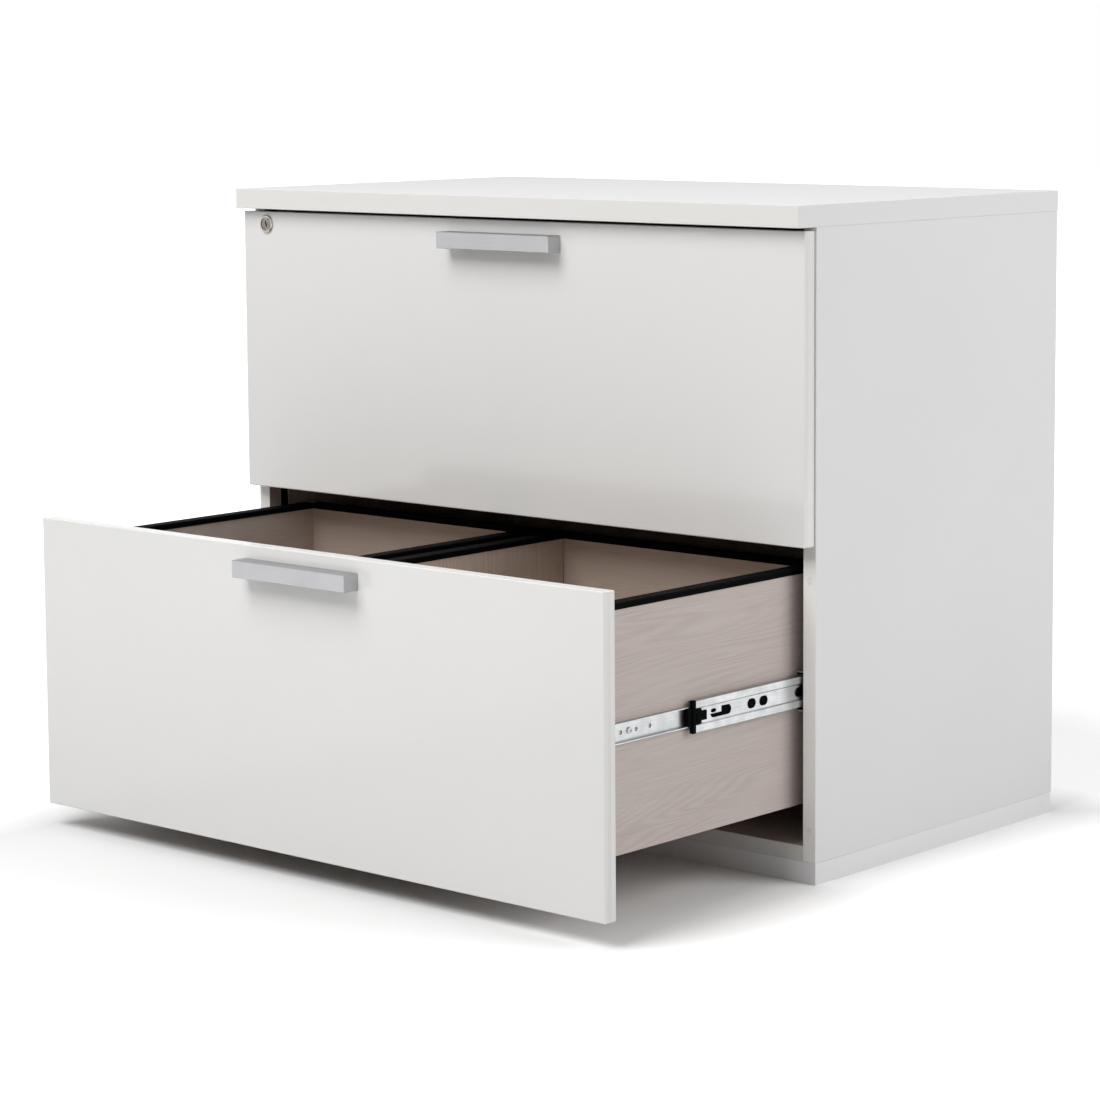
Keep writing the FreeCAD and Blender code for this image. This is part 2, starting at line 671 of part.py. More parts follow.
def middle_stop(name, hand, front, middle_z):
    """The plastic stop on the front of a middle rail: a collar with two ears, a nose in the drawer rail
    and a clip that lies in the rail's band."""
    half = "(middle_rail_height / 2 + middle_stop_ear)"
    start = "middle_rail_start"
    collar_far = "(middle_rail_start + middle_stop_depth)"
    nose_near = "(middle_rail_start + middle_stop_nose_sink)"
    nose_far = "(slide_space - rail_gauge - pan_head_thick - middle_stop_room)"
    nose_half = "(drawer_rail_height / 2 - rail_gauge - middle_stop_room)"
    ear_far = "(middle_rail_start + middle_stop_ear_depth)"
    ear_foot = "(drawer_rail_height / 2 + middle_stop_room)"
    clip_far = "(middle_rail_start + middle_band_step - stop_clearance)"
    clip_half = "(middle_band_height / 2 - stop_clearance)"
    clip_start = f"({front} + middle_clip_gap)"
    tab_half = "(middle_clip_tab_height / 2)"
    collar_y = f"({front} - middle_stop_collar)"
    ear_y = f"({front} - middle_stop_ear_length)"
    link_foot = f"({clip_half} - middle_clip_link)"
    pieces = (
        ("collar", start, collar_far, collar_y, front, f"-{half}", half),
        ("nose", nose_near, nose_far, f"({front} - middle_stop_nose)", front, f"-{nose_half}", nose_half),
        ("upper_ear", start, ear_far, ear_y, front, ear_foot, half),
        ("lower_ear", start, ear_far, ear_y, front, f"-{half}", f"-{ear_foot}"),
        ("upper_link", start, clip_far, collar_y, clip_start, link_foot, clip_half),
        ("lower_link", start, clip_far, collar_y, clip_start, f"-{clip_half}", f"-{link_foot}"),
        ("clip", start, clip_far, clip_start, f"({clip_start} + middle_clip_length)", f"-{clip_half}",
         clip_half),
        ("tab", start, clip_far, clip_start, f"({clip_start} + middle_clip_tab)", f"-{tab_half}", tab_half),
    )
    blocks = []
    for piece, near, far, first, last, low, high in pieces:
        corner = (span(hand, near, far), first, f"{middle_z} + ({low})")
        size = (f"{far} - {near}", f"{last} - {first}", f"{high} - ({low})")
        blocks.append(block(f"{name}_{piece}", corner, size))
    return fuse(name, blocks)


def ball_cage(name, hand, start, depth, ball_depth, half, front, length, middle_z):
    """A thin cage with two rows of balls, above and below the slide's middle."""
    edge = f"({half} + cage_gauge / 2)"
    tip = f"({start} + {depth})"
    profile = channel(start, f"({start} + cage_gauge)", tip, edge, "cage_gauge")
    blank = rail_pad(f"{name}_strip", hand, profile, front, length, middle_z)
    pockets = []
    balls = []
    x = at_depth(hand, ball_depth)
    for index, share in enumerate(ball_shares):
        y = f"{front} + {length} * {share}"
        pocket_low = (x, y, f"{middle_z} - {edge} - overrun")
        pockets.append(rod(f"{name}_pocket_{index}", "ball_diameter + 2 * ball_clearance",
                           f"2 * ({edge} + overrun)", pocket_low, "z"))
        for row, z in (("upper", f"{middle_z} + {half}"), ("lower", f"{middle_z} - {half}")):
            balls.append(ball(f"{name}_{row}_ball_{index}", x, y, z))
    return [cut(name, blank, pockets), *balls]


def drawer_rail(prefix, hand, front, middle_z, screws):
    """The inner channel, screwed to the side of the drawer box."""
    name = f"{prefix}_{HAND_NAMES[hand]}_drawer_rail"
    web = "(slide_space - rail_gauge)"
    profile = channel("slide_space", web, "(slide_space - drawer_rail_depth)", "(drawer_rail_height / 2)",
                      "rail_gauge")
    blank = rail_pad(f"{name}_channel", hand, profile, front, RAIL_LENGTH, middle_z)
    bores = []
    for index, share in enumerate(drawer_screw_shares):
        y = f"{front} + {RAIL_LENGTH} * {share}"
        shank_far = "(slide_space + rail_screw_length - rail_gauge)"
        head_near = f"({web} - pan_head_thick)"
        head = wall_rod(f"{name}_head_{index}", hand, "pan_head", head_near, web, y, middle_z)
        shank = wall_rod(f"{name}_shank_{index}", hand, "rail_screw_diameter", web, shank_far, y, middle_z)
        screws.append(fuse(f"{name}_screw_{index}", (head, shank)))
        bores.append(wall_rod(f"{name}_bore_{index}", hand, SCREW_ROOM, f"({web} - overrun)",
                              "(slide_space + overrun)", y, middle_z))
        pilot = wall_rod(f"{name}_pilot_{index}", hand, SCREW_ROOM, "(slide_space - overrun)",
                         f"({shank_far} + screw_clearance)", y, middle_z)
        drill(f"{prefix}_box_{HAND_NAMES[hand]}_side", pilot)
    for index, share in enumerate(drawer_hole_shares):
        y = f"{front} + {RAIL_LENGTH} * {share}"
        bores.append(wall_rod(f"{name}_spare_{index}", hand, "drawer_rail_hole", f"({web} - overrun)",
                              "(slide_space + overrun)", y, middle_z))
    return cut(name, blank, bores)


def add_slides(prefix, opened, middle_z, screws):
    """Both slides of one drawer, each drawn out as far as the drawer stands open."""
    front = {
        "drawer": f"({RAIL_FRONT} - {opened})",
        "middle": f"({FACE} + middle_rail_setback - {opened} * middle_travel_share)",
        "outer": f"({FACE} + outer_cage_setback - {opened} * middle_travel_share / 2)",
        "inner": f"({FACE} + inner_cage_setback - {opened} * (1 + middle_travel_share) / 2)",
    }
    outer_row = "((cabinet_rail_height + middle_rail_height) / 4 - rail_gauge / 2)"
    inner_row = "((middle_rail_height + drawer_rail_height) / 4 - rail_gauge / 2)"
    outer_ball = "((middle_rail_start + cabinet_rail_depth) / 2)"
    inner_ball = "(slide_space - (drawer_rail_depth + rail_gauge + ball_clearance) / 2)"
    pieces = {"cabinet_rails": [], "middle_rails": [], "middle_rail_stops": [], "drawer_rails": [],
              "outer_ball_cages": [], "inner_ball_cages": []}
    for hand in HANDS:
        name = f"{prefix}_{HAND_NAMES[hand]}"
        pieces["cabinet_rails"].append(add_cabinet_rail(prefix, hand, middle_z))
        nose = middle_stop(f"{name}_middle_stop", hand, front["middle"], middle_z)
        pieces["middle_rail_stops"].append(nose)
        pieces["middle_rails"].append(middle_rail(f"{name}_middle_rail", hand, front["middle"], middle_z))
        pieces["drawer_rails"].append(drawer_rail(prefix, hand, front["drawer"], middle_z, screws))
        pieces["outer_ball_cages"] += ball_cage(f"{name}_outer_cage", hand, "outer_cage_start",
                                                "outer_cage_depth", outer_ball, outer_row, front["outer"],
                                                "outer_cage_length", middle_z)
        pieces["inner_ball_cages"] += ball_cage(f"{name}_inner_cage", hand, "inner_cage_start",
                                                "inner_cage_depth", inner_ball, inner_row, front["inner"],
                                                "inner_cage_length", middle_z)
    for label, things in pieces.items():
        node(f"{prefix}_{label}", group(f"{prefix}_{label}_pair", things))


# Drawers

def add_handle(prefix, face_y, front_z):
    """A bar handle, hollowed from below for the fingers and screwed on from behind the front."""
    half = "(handle_length / 2)"
    low_z = f"({front_z} + {FRONT_HEIGHT} - handle_drop - handle_height)"
    label = f"{prefix}_handle"
    low = (f"-{half}", f"{face_y} - handle_projection", low_z)
    size = ("handle_length", "handle_projection", "handle_height")
    blank = rounded_board(f"{label}_bar", low, size, "handle_round")
    hollow_low = (f"handle_leg - {half}", f"{face_y} - handle_projection + handle_bar_thick",
                  f"{low_z} - overrun")
    hollow_size = ("handle_length - 2 * handle_leg", "handle_projection - handle_bar_thick + overrun",
                   "handle_height - handle_top_thick + overrun")
    drill(label, block(f"{label}_hollow", hollow_low, hollow_size))
    back_y = f"({face_y} + front_thick)"
    run = "(front_thick + handle_screw_bite)"
    room = "handle_screw_diameter + 2 * screw_clearance"
    screws = []
    for hand in HANDS:
        name = f"{label}_{HAND_NAMES[hand]}"
        x = f"({hand}) * ({half} - handle_leg / 2)"
        z = f"{low_z} + handle_height / 2"
        tip = (x, f"{face_y} - handle_screw_bite", z)
        head = rod(f"{name}_head", "handle_screw_head", "handle_screw_head_thick", (x, back_y, z), "y")
        shank = rod(f"{name}_shank", "handle_screw_diameter", run, tip, "y")
        screws.append(fuse(f"{name}_screw", (shank, head)))
        bore_tip = (x, f"{face_y} - handle_screw_bite - screw_clearance", z)
        bore_run = f"{run} + screw_clearance + overrun"
        drill(label, rod(f"{name}_thread", room, bore_run, bore_tip, "y"))
        drill(f"{prefix}_front_panel", rod(f"{name}_bore", room, bore_run, bore_tip, "y"))
    finish(label, blank)
    node(f"{prefix}_handle_screws", group(f"{prefix}_handle_screw_pair", screws))


def cap_points(low, high, top):
    """The outline of a file rail: a cap over a panel's top edge, its upper corners bevelled."""
    outer_low = f"({low} - cap_wall)"
    outer_high = f"({high} + cap_wall)"
    foot = f"({top} - cap_drop)"
    peak = f"({top} + cap_top)"
    shoulder = f"({peak} - cap_chamfer)"
    return ((outer_low, foot), (outer_low, shoulder), (f"({outer_low} + cap_chamfer)", peak),
            (f"({outer_high} - cap_chamfer)", peak), (outer_high, shoulder), (outer_high, foot),
            (high, foot), (high, top), (low, top), (low, foot))


def add_file_rails(prefix, y0, top_z):
    """Caps on the box sides, the dividers and the box back."""
    run = "(box_inside_depth - box_thick - cap_wall - 2 * cap_end_room)"
    start = f"({y0} + box_thick + cap_end_room)"
    far = "(divider_half_space + box_thick)"
    edges = {
        "left_side": (f"(-{BOX_HALF})", f"(-{BOX_INSIDE})"),
        "right_side": (BOX_INSIDE, BOX_HALF),
        "left_divider": (f"(-{far})", "(-divider_half_space)"),
        "right_divider": ("divider_half_space", far),
    }
    rails = []
    for name, (low, high) in edges.items():
        rails.append(pad(f"{prefix}_{name}_cap", "XZ_Plane", cap_points(low, high, "0"), run,
                         ("0", start, top_z), flip=True))
    points = cap_points("box_inside_depth", BOX_LENGTH, "0")
    rails.append(pad(f"{prefix}_back_cap", "YZ_Plane", points, f"2 * {BOX_INSIDE}",
                     (f"-{BOX_INSIDE}", y0, top_z)))
    node(f"{prefix}_file_rails", group(f"{prefix}_file_rail_set", rails))


def add_front_screws(prefix, y0, box_z, screws):
    """Screws through the box front into the drawer front."""
    run = "(front_screw_bite + box_thick)"
    room = "front_screw_diameter + 2 * screw_clearance"
    for row, rise in enumerate(front_screw_height_shares):
        for column, share in enumerate(front_screw_width_shares):
            name = f"{prefix}_front_screw_{row}_{column}"
            x = f"cabinet_width * {share}"
            z = f"{box_z} + ({BOX_HEIGHT} - box_front_drop) * {rise}"
            seat = (x, f"{y0} + box_thick", z)
            tip = (x, f"{y0} - front_screw_bite", z)
            head = rod(f"{name}_head", "handle_screw_head", "handle_screw_head_thick", seat, "y")
            shank = rod(f"{name}_shank", "front_screw_diameter", run, tip, "y")
            screws.append(fuse(name, (head, shank)))
            for board in (f"{prefix}_front_panel", f"{prefix}_box_front"):
                low = (x, f"{y0} - front_screw_bite - screw_clearance", z)
                bore_run = f"{run} + screw_clearance + overrun"
                drill(board, rod(f"{name}_{board}_bore", room, bore_run, low, "y"))


def add_lock_hook(prefix, opened, box_z, screws):
    """An angle on the left of the box, whose lip the locking bar stands in front of."""
    label = f"{prefix}_lock_hook"
    low_z = f"({box_z} + {BOX_HEIGHT} - hook_drop)"
    y = f"({BAR_FRONT} + bar_width + hook_lag - {opened})"
    plate_near = "(slide_space - hook_plate_thick)"
    plate_low = (span(LEFT, plate_near, "slide_space"), y, low_z)
    plate_size = ("hook_plate_thick", "hook_plate_length", "hook_plate_height")
    plate = block(f"{label}_plate", plate_low, plate_size)
    lip_low = (span(LEFT, "slide_space - hook_lip_reach", "slide_space"), y, low_z)
    lip = block(f"{label}_lip", lip_low, ("hook_lip_reach", "hook_lip_thick", "hook_lip_height"))
    angle = fuse(f"{label}_angle", (plate, lip))
    bores = []
    for index, share in enumerate(hook_screw_height_shares):
        name = f"{label}_screw_{index}"
        screw_y = f"{y} + hook_plate_length * {hook_screw_share}"
        z = f"{low_z} + hook_plate_height * {share}"
        shank_far = "(slide_space + rail_screw_length - rail_gauge)"
        head = wall_cone(f"{name}_head", LEFT, "rail_screw_head", "rail_screw_diameter", plate_near,
                         "slide_space", screw_y, z)
        shank = wall_rod(f"{name}_shank", LEFT, "rail_screw_diameter", "slide_space", shank_far, screw_y, z)
        screws.append(fuse(name, (head, shank)))
        bores.append(wall_cone(f"{name}_seat", LEFT, "rail_screw_head + 2 * screw_clearance",
                               SCREW_ROOM, plate_near, "slide_space", screw_y, z))
        pilot = wall_rod(f"{name}_pilot", LEFT, SCREW_ROOM, "(slide_space - overrun)",
                         f"({shank_far} + screw_clearance)", screw_y, z)
        drill(f"{prefix}_box_left_side", pilot)
    node(label, cut(f"{label}_drilled", angle, bores))


def add_box(prefix, y0, box_z):
    """Sides, back, front and bottom, butted together, and the two dividers."""
    for hand in HANDS:
        label = f"{prefix}_box_{HAND_NAMES[hand]}_side"
        low = (span(hand, "slide_space", "slide_space + box_thick"), y0, box_z)
        finish(label, block(f"{label}_board", low, ("box_thick", BOX_LENGTH, BOX_HEIGHT)))
    inside = f"2 * {BOX_INSIDE}"
    low = (f"-{BOX_INSIDE}", f"{y0} + box_inside_depth", box_z)
    size = (inside, "box_thick", BOX_HEIGHT)
    finish(f"{prefix}_box_back", block(f"{prefix}_box_back_board", low, size))
    low = (f"-{BOX_INSIDE}", y0, box_z)
    size = (inside, "box_thick", f"{BOX_HEIGHT} - box_front_drop")
    finish(f"{prefix}_box_front", block(f"{prefix}_box_front_board", low, size))
    run = "(box_inside_depth - box_thick)"
    low = (f"-{BOX_INSIDE}", f"{y0} + box_thick", f"{box_z} + box_bottom_lift")
    size = (inside, run, "box_bottom_thick")
    finish(f"{prefix}_box_bottom", block(f"{prefix}_box_bottom_board", low, size))
    for hand in HANDS:
        label = f"{prefix}_{HAND_NAMES[hand]}_divider"
        x = {LEFT: "-divider_half_space - box_thick", RIGHT: "divider_half_space"}[hand]
        floor = "(box_bottom_lift + box_bottom_thick)"
        low = (x, f"{y0} + box_thick", f"{box_z} + {floor}")
        size = ("box_thick", f"{run} - cap_wall - cap_end_room", f"{BOX_HEIGHT} - {floor}")
        node(label, block(f"{label}_board", low, size))


def add_drawer(prefix, front_z, box_rise, opened):
    y0 = f"({SHUT_Y} - {opened})"
    face_y = f"({y0} - front_thick)"
    box_z = f"({front_z} + {box_rise})"
    screws = []
    add_handle(prefix, face_y, front_z)
    add_front_screws(prefix, y0, box_z, screws)
    add_lock_hook(prefix, opened, box_z, screws)
    add_slides(prefix, opened, f"({box_z} + {BOX_HEIGHT} - slide_drop)", screws)
    add_file_rails(prefix, y0, f"({box_z} + {BOX_HEIGHT})")
    add_box(prefix, y0, box_z)
    low = (f"-{FRONT_HALF}", face_y, front_z)
    size = (f"2 * {FRONT_HALF}", "front_thick", FRONT_HEIGHT)
    finish(f"{prefix}_front_panel", rounded_board(f"{prefix}_front_board", low, size, "front_round"))
    node(f"{prefix}_drawer_screws", group(f"{prefix}_drawer_screw_set", screws))


# Lock and locking bar

def add_lock():
    """Housing, nut and plug in the upper front, with a crank behind that lifts the locking bar."""
    face_y = f"({SHUT_Y} - front_thick)"
    ring = "(lock_ring_diameter / 2)"
    body_r = "(lock_body_diameter / 2)"
    bore = "(plug_diameter / 2 + plug_clearance)"
    recess = "(lock_recess_diameter / 2)"
    recess_floor = "(lock_recess_depth - lock_ring_thick)"
    outline = ((bore, recess_floor), (recess, recess_floor), (recess, "-lock_ring_thick"),
               (f"{ring} - lock_ring_chamfer", "-lock_ring_thick"),
               (ring, "lock_ring_chamfer - lock_ring_thick"), (ring, "0"), (body_r, "0"),
               (body_r, "lock_body_length"), (bore, "lock_body_length"))
    housing = doc.addObject("PartDesign::Body", "lock_housing_body")
    turned = housing.newObject("PartDesign::Revolution", "lock_housing_turned")
    turned.Profile = sketch(housing, "XY_Plane", outline)
    turned.ReferenceAxis = (turned.Profile[0], ["V_Axis"])
    turned.Angle = 360
    place(housing, LOCK_X, face_y, LOCK_Z)
    node("lock_housing", housing)

    thread = "lock_body_diameter + 2 * lock_clearance"
    hole_low = (LOCK_X, f"{face_y} - overrun", LOCK_Z)
    drill("upper_front_panel", rod("lock_hole", thread, "front_thick + 2 * overrun", hole_low, "y"))
    nut = doc.addObject("Part::Prism", "lock_nut_hexagon")
    nut.Polygon = 6
    nut.Placement = FreeCAD.Placement(FreeCAD.Vector(), TURNS["y"])
    bind(nut, Circumradius="nut_radius", Height="nut_thick")
    place(nut, LOCK_X, SHUT_Y, LOCK_Z)
    bore_low = (LOCK_X, f"{SHUT_Y} - overrun", LOCK_Z)
    nut_hole = rod("lock_nut_hole", thread, "nut_thick + 2 * overrun", bore_low, "y")
    node("lock_nut", cut("lock_nut_bored", nut, [nut_hole]))

    plug_y = f"({face_y} - lock_ring_thick + plug_sink)"
    plug_run = "(lock_ring_thick - plug_sink + lock_body_length + crank_gap)"
    plug = rod("lock_plug_rod", "plug_diameter", plug_run, (LOCK_X, plug_y, LOCK_Z), "y")
    key_size = ("keyway_width", "keyway_depth + overrun", "(keyway_height + keyway_overlap) / 2")
    steps = []
    for side, foot in ((LEFT, "-keyway_overlap / 2"), (RIGHT, "-keyway_height / 2")):
        key_x = f"{LOCK_X} - keyway_width / 2 + ({side}) * keyway_jog / 2"
        low = (key_x, f"{plug_y} - overrun", f"{LOCK_Z} + ({foot})")
        steps.append(block(f"lock_keyway_{HAND_NAMES[side]}", low, key_size))
    node("lock_plug", cut("lock_plug_cut", plug, [fuse("lock_keyway", steps)]))

    crank_y = f"({plug_y} + {plug_run})"
    disc = rod("lock_crank_disc", "crank_diameter", "crank_thick", (LOCK_X, crank_y, LOCK_Z), "y")
    pin_low = (f"{LOCK_X} - {PIN_SHIFT}", crank_y, f"{LOCK_Z} - {PIN_SHIFT}")
    pin = rod("lock_crank_pin", "crank_pin_diameter", "crank_thick + crank_pin_length", pin_low, "y")
    node("lock_crank", fuse("lock_crank_whole", (disc, pin)))


def add_lock_bar(lower_hook, upper_hook):
    """A flat bar in a groove of the left side panel: a tab for each drawer, a fork for the crank pin."""
    foot_z = f"({FLOOR_TOP} + bar_floor_gap)"
    top_z = f"({FORK_MIDDLE} + fork_height / 2)"
    fork_z = f"({FORK_MIDDLE} - fork_height / 2)"
    tab_run = "(bar_thick + bar_sink + tab_reach)"
    pieces = [block("lock_bar_strip", (BAR_LOW_X, BAR_FRONT, foot_z),
                    ("bar_thick", "bar_width", f"{top_z} - {foot_z}"))]
    for index, hook_z in enumerate((lower_hook, upper_hook)):
        low = (BAR_LOW_X, BAR_FRONT, f"{hook_z} - tab_gap - tab_height")
        pieces.append(block(f"lock_bar_tab_{index}", low, (tab_run, "bar_width", "tab_height")))
    arm_size = (tab_run, "bar_width", "fork_height")
    pieces.append(block("lock_bar_arm", (BAR_LOW_X, BAR_FRONT, fork_z), arm_size))
    plate_x = f"(-{HALF_INSIDE} + guide_thick)"
    plate_end = f"({LOCK_X} - fork_tip_gap)"
    plate_low = (plate_x, f"{BAR_FRONT} - fork_thick", fork_z)
    plate_size = (f"{plate_end} - {plate_x}", "fork_thick", "fork_height")
    pieces.append(block("lock_fork_plate", plate_low, plate_size))
    slot_x = f"({LOCK_X} - crank_radius - crank_pin_diameter / 2 - fork_slot_room)"
    slot_half = "(crank_pin_diameter / 2 + fork_clearance)"
    slot_low = (slot_x, f"{BAR_FRONT} - fork_thick - overrun", f"{FORK_MIDDLE} - {slot_half}")
    slot_size = (f"{plate_end} - {slot_x} + overrun", "fork_thick + 2 * overrun", f"2 * {slot_half}")
    slot = block("lock_fork_slot", slot_low, slot_size)
    node("lock_bar", cut("lock_bar_whole", fuse("lock_bar_blank", pieces), [slot]))

    groove_y = f"({BAR_FRONT} - groove_clearance)"
    groove_wide = "(bar_width + 2 * groove_clearance)"
    groove_depth = "(bar_thick + bar_sink + groove_floor_room)"
    groove_low = (f"-{HALF_INSIDE} - {groove_depth}", groove_y, FLOOR_TOP)
    drill("left_side_panel", block("lock_groove", groove_low, (f"{groove_depth} + overrun", groove_wide,
                                                               f"{INSIDE_HEIGHT} + overrun")))
    guides = []
    guide_heights = (f"({lower_hook} - low_guide_drop)", f"({lower_hook} + middle_guide_rise)",
                     f"({upper_hook} - high_guide_drop)")
    for index, z in enumerate(guide_heights):
        low = (f"-{HALF_INSIDE}", f"{groove_y} - guide_margin", f"{z} - guide_height / 2")
        plate = block(f"lock_guide_plate_{index}", low, ("guide_thick", f"{groove_wide} + 2 * guide_margin",
                                                         "guide_height"))
        pegs = []
        peg_room = "guide_peg_diameter + 2 * dowel_clearance"
        peg_end = "-guide_peg_length - dowel_clearance"
        front_y = f"{groove_y} - guide_margin / 2"
        rear_y = f"{groove_y} + {groove_wide} + guide_margin / 2"
        for name, y in ((f"lock_guide_front_peg_{index}", front_y), (f"lock_guide_rear_peg_{index}", rear_y)):
            pegs.append(wall_rod(name, LEFT, "guide_peg_diameter", "-guide_peg_length", "guide_thick", y, z))
            drill("left_side_panel", wall_rod(f"{name}_hole", LEFT, peg_room, peg_end, "overrun", y, z))
        guides.append(fuse(f"lock_guide_{index}", (plate, *pegs)))
    node("lock_bar_guides", group("lock_bar_guide_set", guides))


# The whole cabinet

DRAWERS = (
    ("lower", LOWER_FRONT_Z, "lower_box_rise", "lower_open"),
    ("upper", UPPER_FRONT_Z, "upper_box_rise", "0"),
)
cabinet_screws = []
cabinet_stops = []
add_lock()
for prefix, front_z, box_rise, opened in DRAWERS:
    add_drawer(prefix, front_z, box_rise, opened)
add_lock_bar(*[f"({front_z} + {box_rise} + {BOX_HEIGHT} - hook_drop)" for _, front_z, box_rise, _ in DRAWERS])
add_dowels()
add_cams()
add_plinth()
add_carcass()
node("panel_dowels", group("panel_dowel_set", dowels))
node("cam_fittings", group("cam_fitting_set", fittings))
node("cabinet_rail_screws", group("cabinet_rail_screw_set", cabinet_screws))
node("cabinet_rail_stops", group("cabinet_rail_stop_set", cabinet_stops))
node("bumper_pads", group("bumper_pad_set", bumper_pads()))
doc.recompute()

failed = [thing.Name for thing in doc.Objects if {"Invalid", "Error"} & set(thing.State)]
failed += [thing.Label for thing in nodes if thing.Shape.isNull() or not thing.Shape.isValid()]
if failed:
    raise RuntimeError(f"These objects failed: {failed}")

os.makedirs("parts", exist_ok=True)
for thing in nodes:
    thing.Shape.exportStep(f"parts/{thing.Label}.step")
    print(thing.Label, len(thing.Shape.Solids), "solids", round(thing.Shape.Volume), "mm3")
print(len(nodes), "nodes")
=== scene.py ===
# %% [markdown]
# # A two-drawer lateral filing cabinet
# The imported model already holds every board, slide and screw at its real size, in metres, with the
# drawer fronts facing -Y. This lesson dresses it: each step adds one finish or one fine-shaped
# piece, and the last ones add the studio and the camera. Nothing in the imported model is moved, so
# the drawers still run on their slides.

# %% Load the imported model
import json
import math

import bpy
import numpy as np
from mathutils import Matrix, Vector

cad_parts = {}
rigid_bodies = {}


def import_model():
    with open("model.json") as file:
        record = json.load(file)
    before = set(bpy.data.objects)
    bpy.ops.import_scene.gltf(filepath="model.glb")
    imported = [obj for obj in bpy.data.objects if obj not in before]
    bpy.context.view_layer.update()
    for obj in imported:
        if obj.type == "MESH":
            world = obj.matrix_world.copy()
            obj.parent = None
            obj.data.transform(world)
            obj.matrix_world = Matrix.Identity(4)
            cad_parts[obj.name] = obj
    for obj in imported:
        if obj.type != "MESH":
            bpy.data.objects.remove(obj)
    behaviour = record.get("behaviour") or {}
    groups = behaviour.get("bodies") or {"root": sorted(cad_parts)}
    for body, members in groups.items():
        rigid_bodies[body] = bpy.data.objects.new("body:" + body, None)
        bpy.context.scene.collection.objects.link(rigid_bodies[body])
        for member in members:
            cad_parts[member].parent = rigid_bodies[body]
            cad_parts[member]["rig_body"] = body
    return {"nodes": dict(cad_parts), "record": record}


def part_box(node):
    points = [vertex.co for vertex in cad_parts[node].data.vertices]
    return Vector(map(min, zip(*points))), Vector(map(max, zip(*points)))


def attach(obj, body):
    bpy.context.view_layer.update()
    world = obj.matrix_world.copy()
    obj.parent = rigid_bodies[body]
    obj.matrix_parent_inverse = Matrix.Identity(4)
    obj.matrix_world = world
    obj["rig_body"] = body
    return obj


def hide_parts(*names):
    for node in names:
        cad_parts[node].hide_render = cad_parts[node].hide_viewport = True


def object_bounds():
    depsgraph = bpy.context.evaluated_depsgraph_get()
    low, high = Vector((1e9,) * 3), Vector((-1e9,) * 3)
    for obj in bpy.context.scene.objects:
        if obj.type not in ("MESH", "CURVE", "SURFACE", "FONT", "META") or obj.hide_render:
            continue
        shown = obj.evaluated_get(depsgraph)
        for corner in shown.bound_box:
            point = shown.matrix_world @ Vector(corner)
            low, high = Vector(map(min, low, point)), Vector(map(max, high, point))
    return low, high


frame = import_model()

MM = 0.001
cad_box = [list(corner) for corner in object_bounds()]
nodes = frame["nodes"]
slot_of = {part["node"]: part["material_slot"] for part in frame["record"]["subparts"]}

# %% [markdown]
# ## Tools for finishes
# A finish is a small network of shader nodes. It could be wired by hand in the shader editor, but
# written as code it can be read, repeated and changed in one place. Colours are written as the hex
# values that a paint card would give and turned to linear light once. Patterns are measured in
# millimetres on Object coordinates, so they sit still on the piece when it slides. One function
# adds a node, fills its sockets and links it, so each finish reads as a list.

# %% Tools for finishes


def linear(code):
    """An sRGB hex colour as linear red, green, blue and alpha: the standard curve, undone for each
    channel."""
    shares = [int(code[first:first + 2], 16) / 255 for first in (1, 3, 5)]
    return [s / 12.92 if s <= 0.04045 else ((s + 0.055) / 1.055) ** 2.4 for s in shares] + [1.0]


def add(tree, kind, inputs=None, **settings):
    """Add one node: settings are its own properties, and an input takes a value, a hex colour, a
    socket or a node."""
    made = tree.nodes.new(kind)
    for name, value in settings.items():
        setattr(made, name, value)
    for name, value in (inputs or {}).items():
        fits = [socket for socket in made.inputs if socket.enabled and socket.name == name]
        socket = fits[0] if fits else made.inputs[name]
        if isinstance(value, str):
            value = linear(value)
        if isinstance(value, bpy.types.Node):
            value = next(output for output in value.outputs if output.enabled)
        if isinstance(value, bpy.types.NodeSocket):
            tree.links.new(value, socket)
        else:
            socket.default_value = value
    return made


def per(size_mm):
    """The pattern scale, in repeats per metre, that draws a feature this many millimetres wide."""
    return 1 / (size_mm * MM)


def start(name):
    """An empty finish: the material, its tree and the Object coordinates that its patterns read."""
    made = bpy.data.materials.new(name)
    made.use_nodes = True
    made.node_tree.nodes.clear()
    place = add(made.node_tree, "ShaderNodeTexCoord").outputs["Object"]
    return made, made.node_tree, place


print("mid grey is", round(linear("#808080")[0], 3), "in linear light")
print("a 5 mm pattern has scale", per(5))

# %% [markdown]
# ## Gloss lacquer
# The drawer fronts are fibreboard with a polished white lacquer. What the eye gets is a clean,
# nearly mirror-like sheen that picks up the open drawer below, broken a little by orange peel, the
# slow ripple that sprayed lacquer keeps. The narrow edges are banded with a drawn plastic strip,
# whose fine lines run up and down. The strip could be a piece of its own, but it is only a skin on
# the same board, so the finish asks where it is: past the plane of an edge it takes the strip's
# colour.

# %% Gloss lacquer
# a plane that parts two finishes on one piece lies this far under the face
SKIN = 0.3 * MM
LACQUER_LIGHT, LACQUER_DARK = "#edecea", "#ebeae8"
STRIP_LIGHT, STRIP_DARK = "#e4e3e1", "#d6d5d2"
LACQUER_DRIFT_MM, PEEL_MM = 140, 5
STRIP_LINE_MM, STRIP_RUN_MM = 1.4, 900
front_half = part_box("upper_front_panel")[1].x


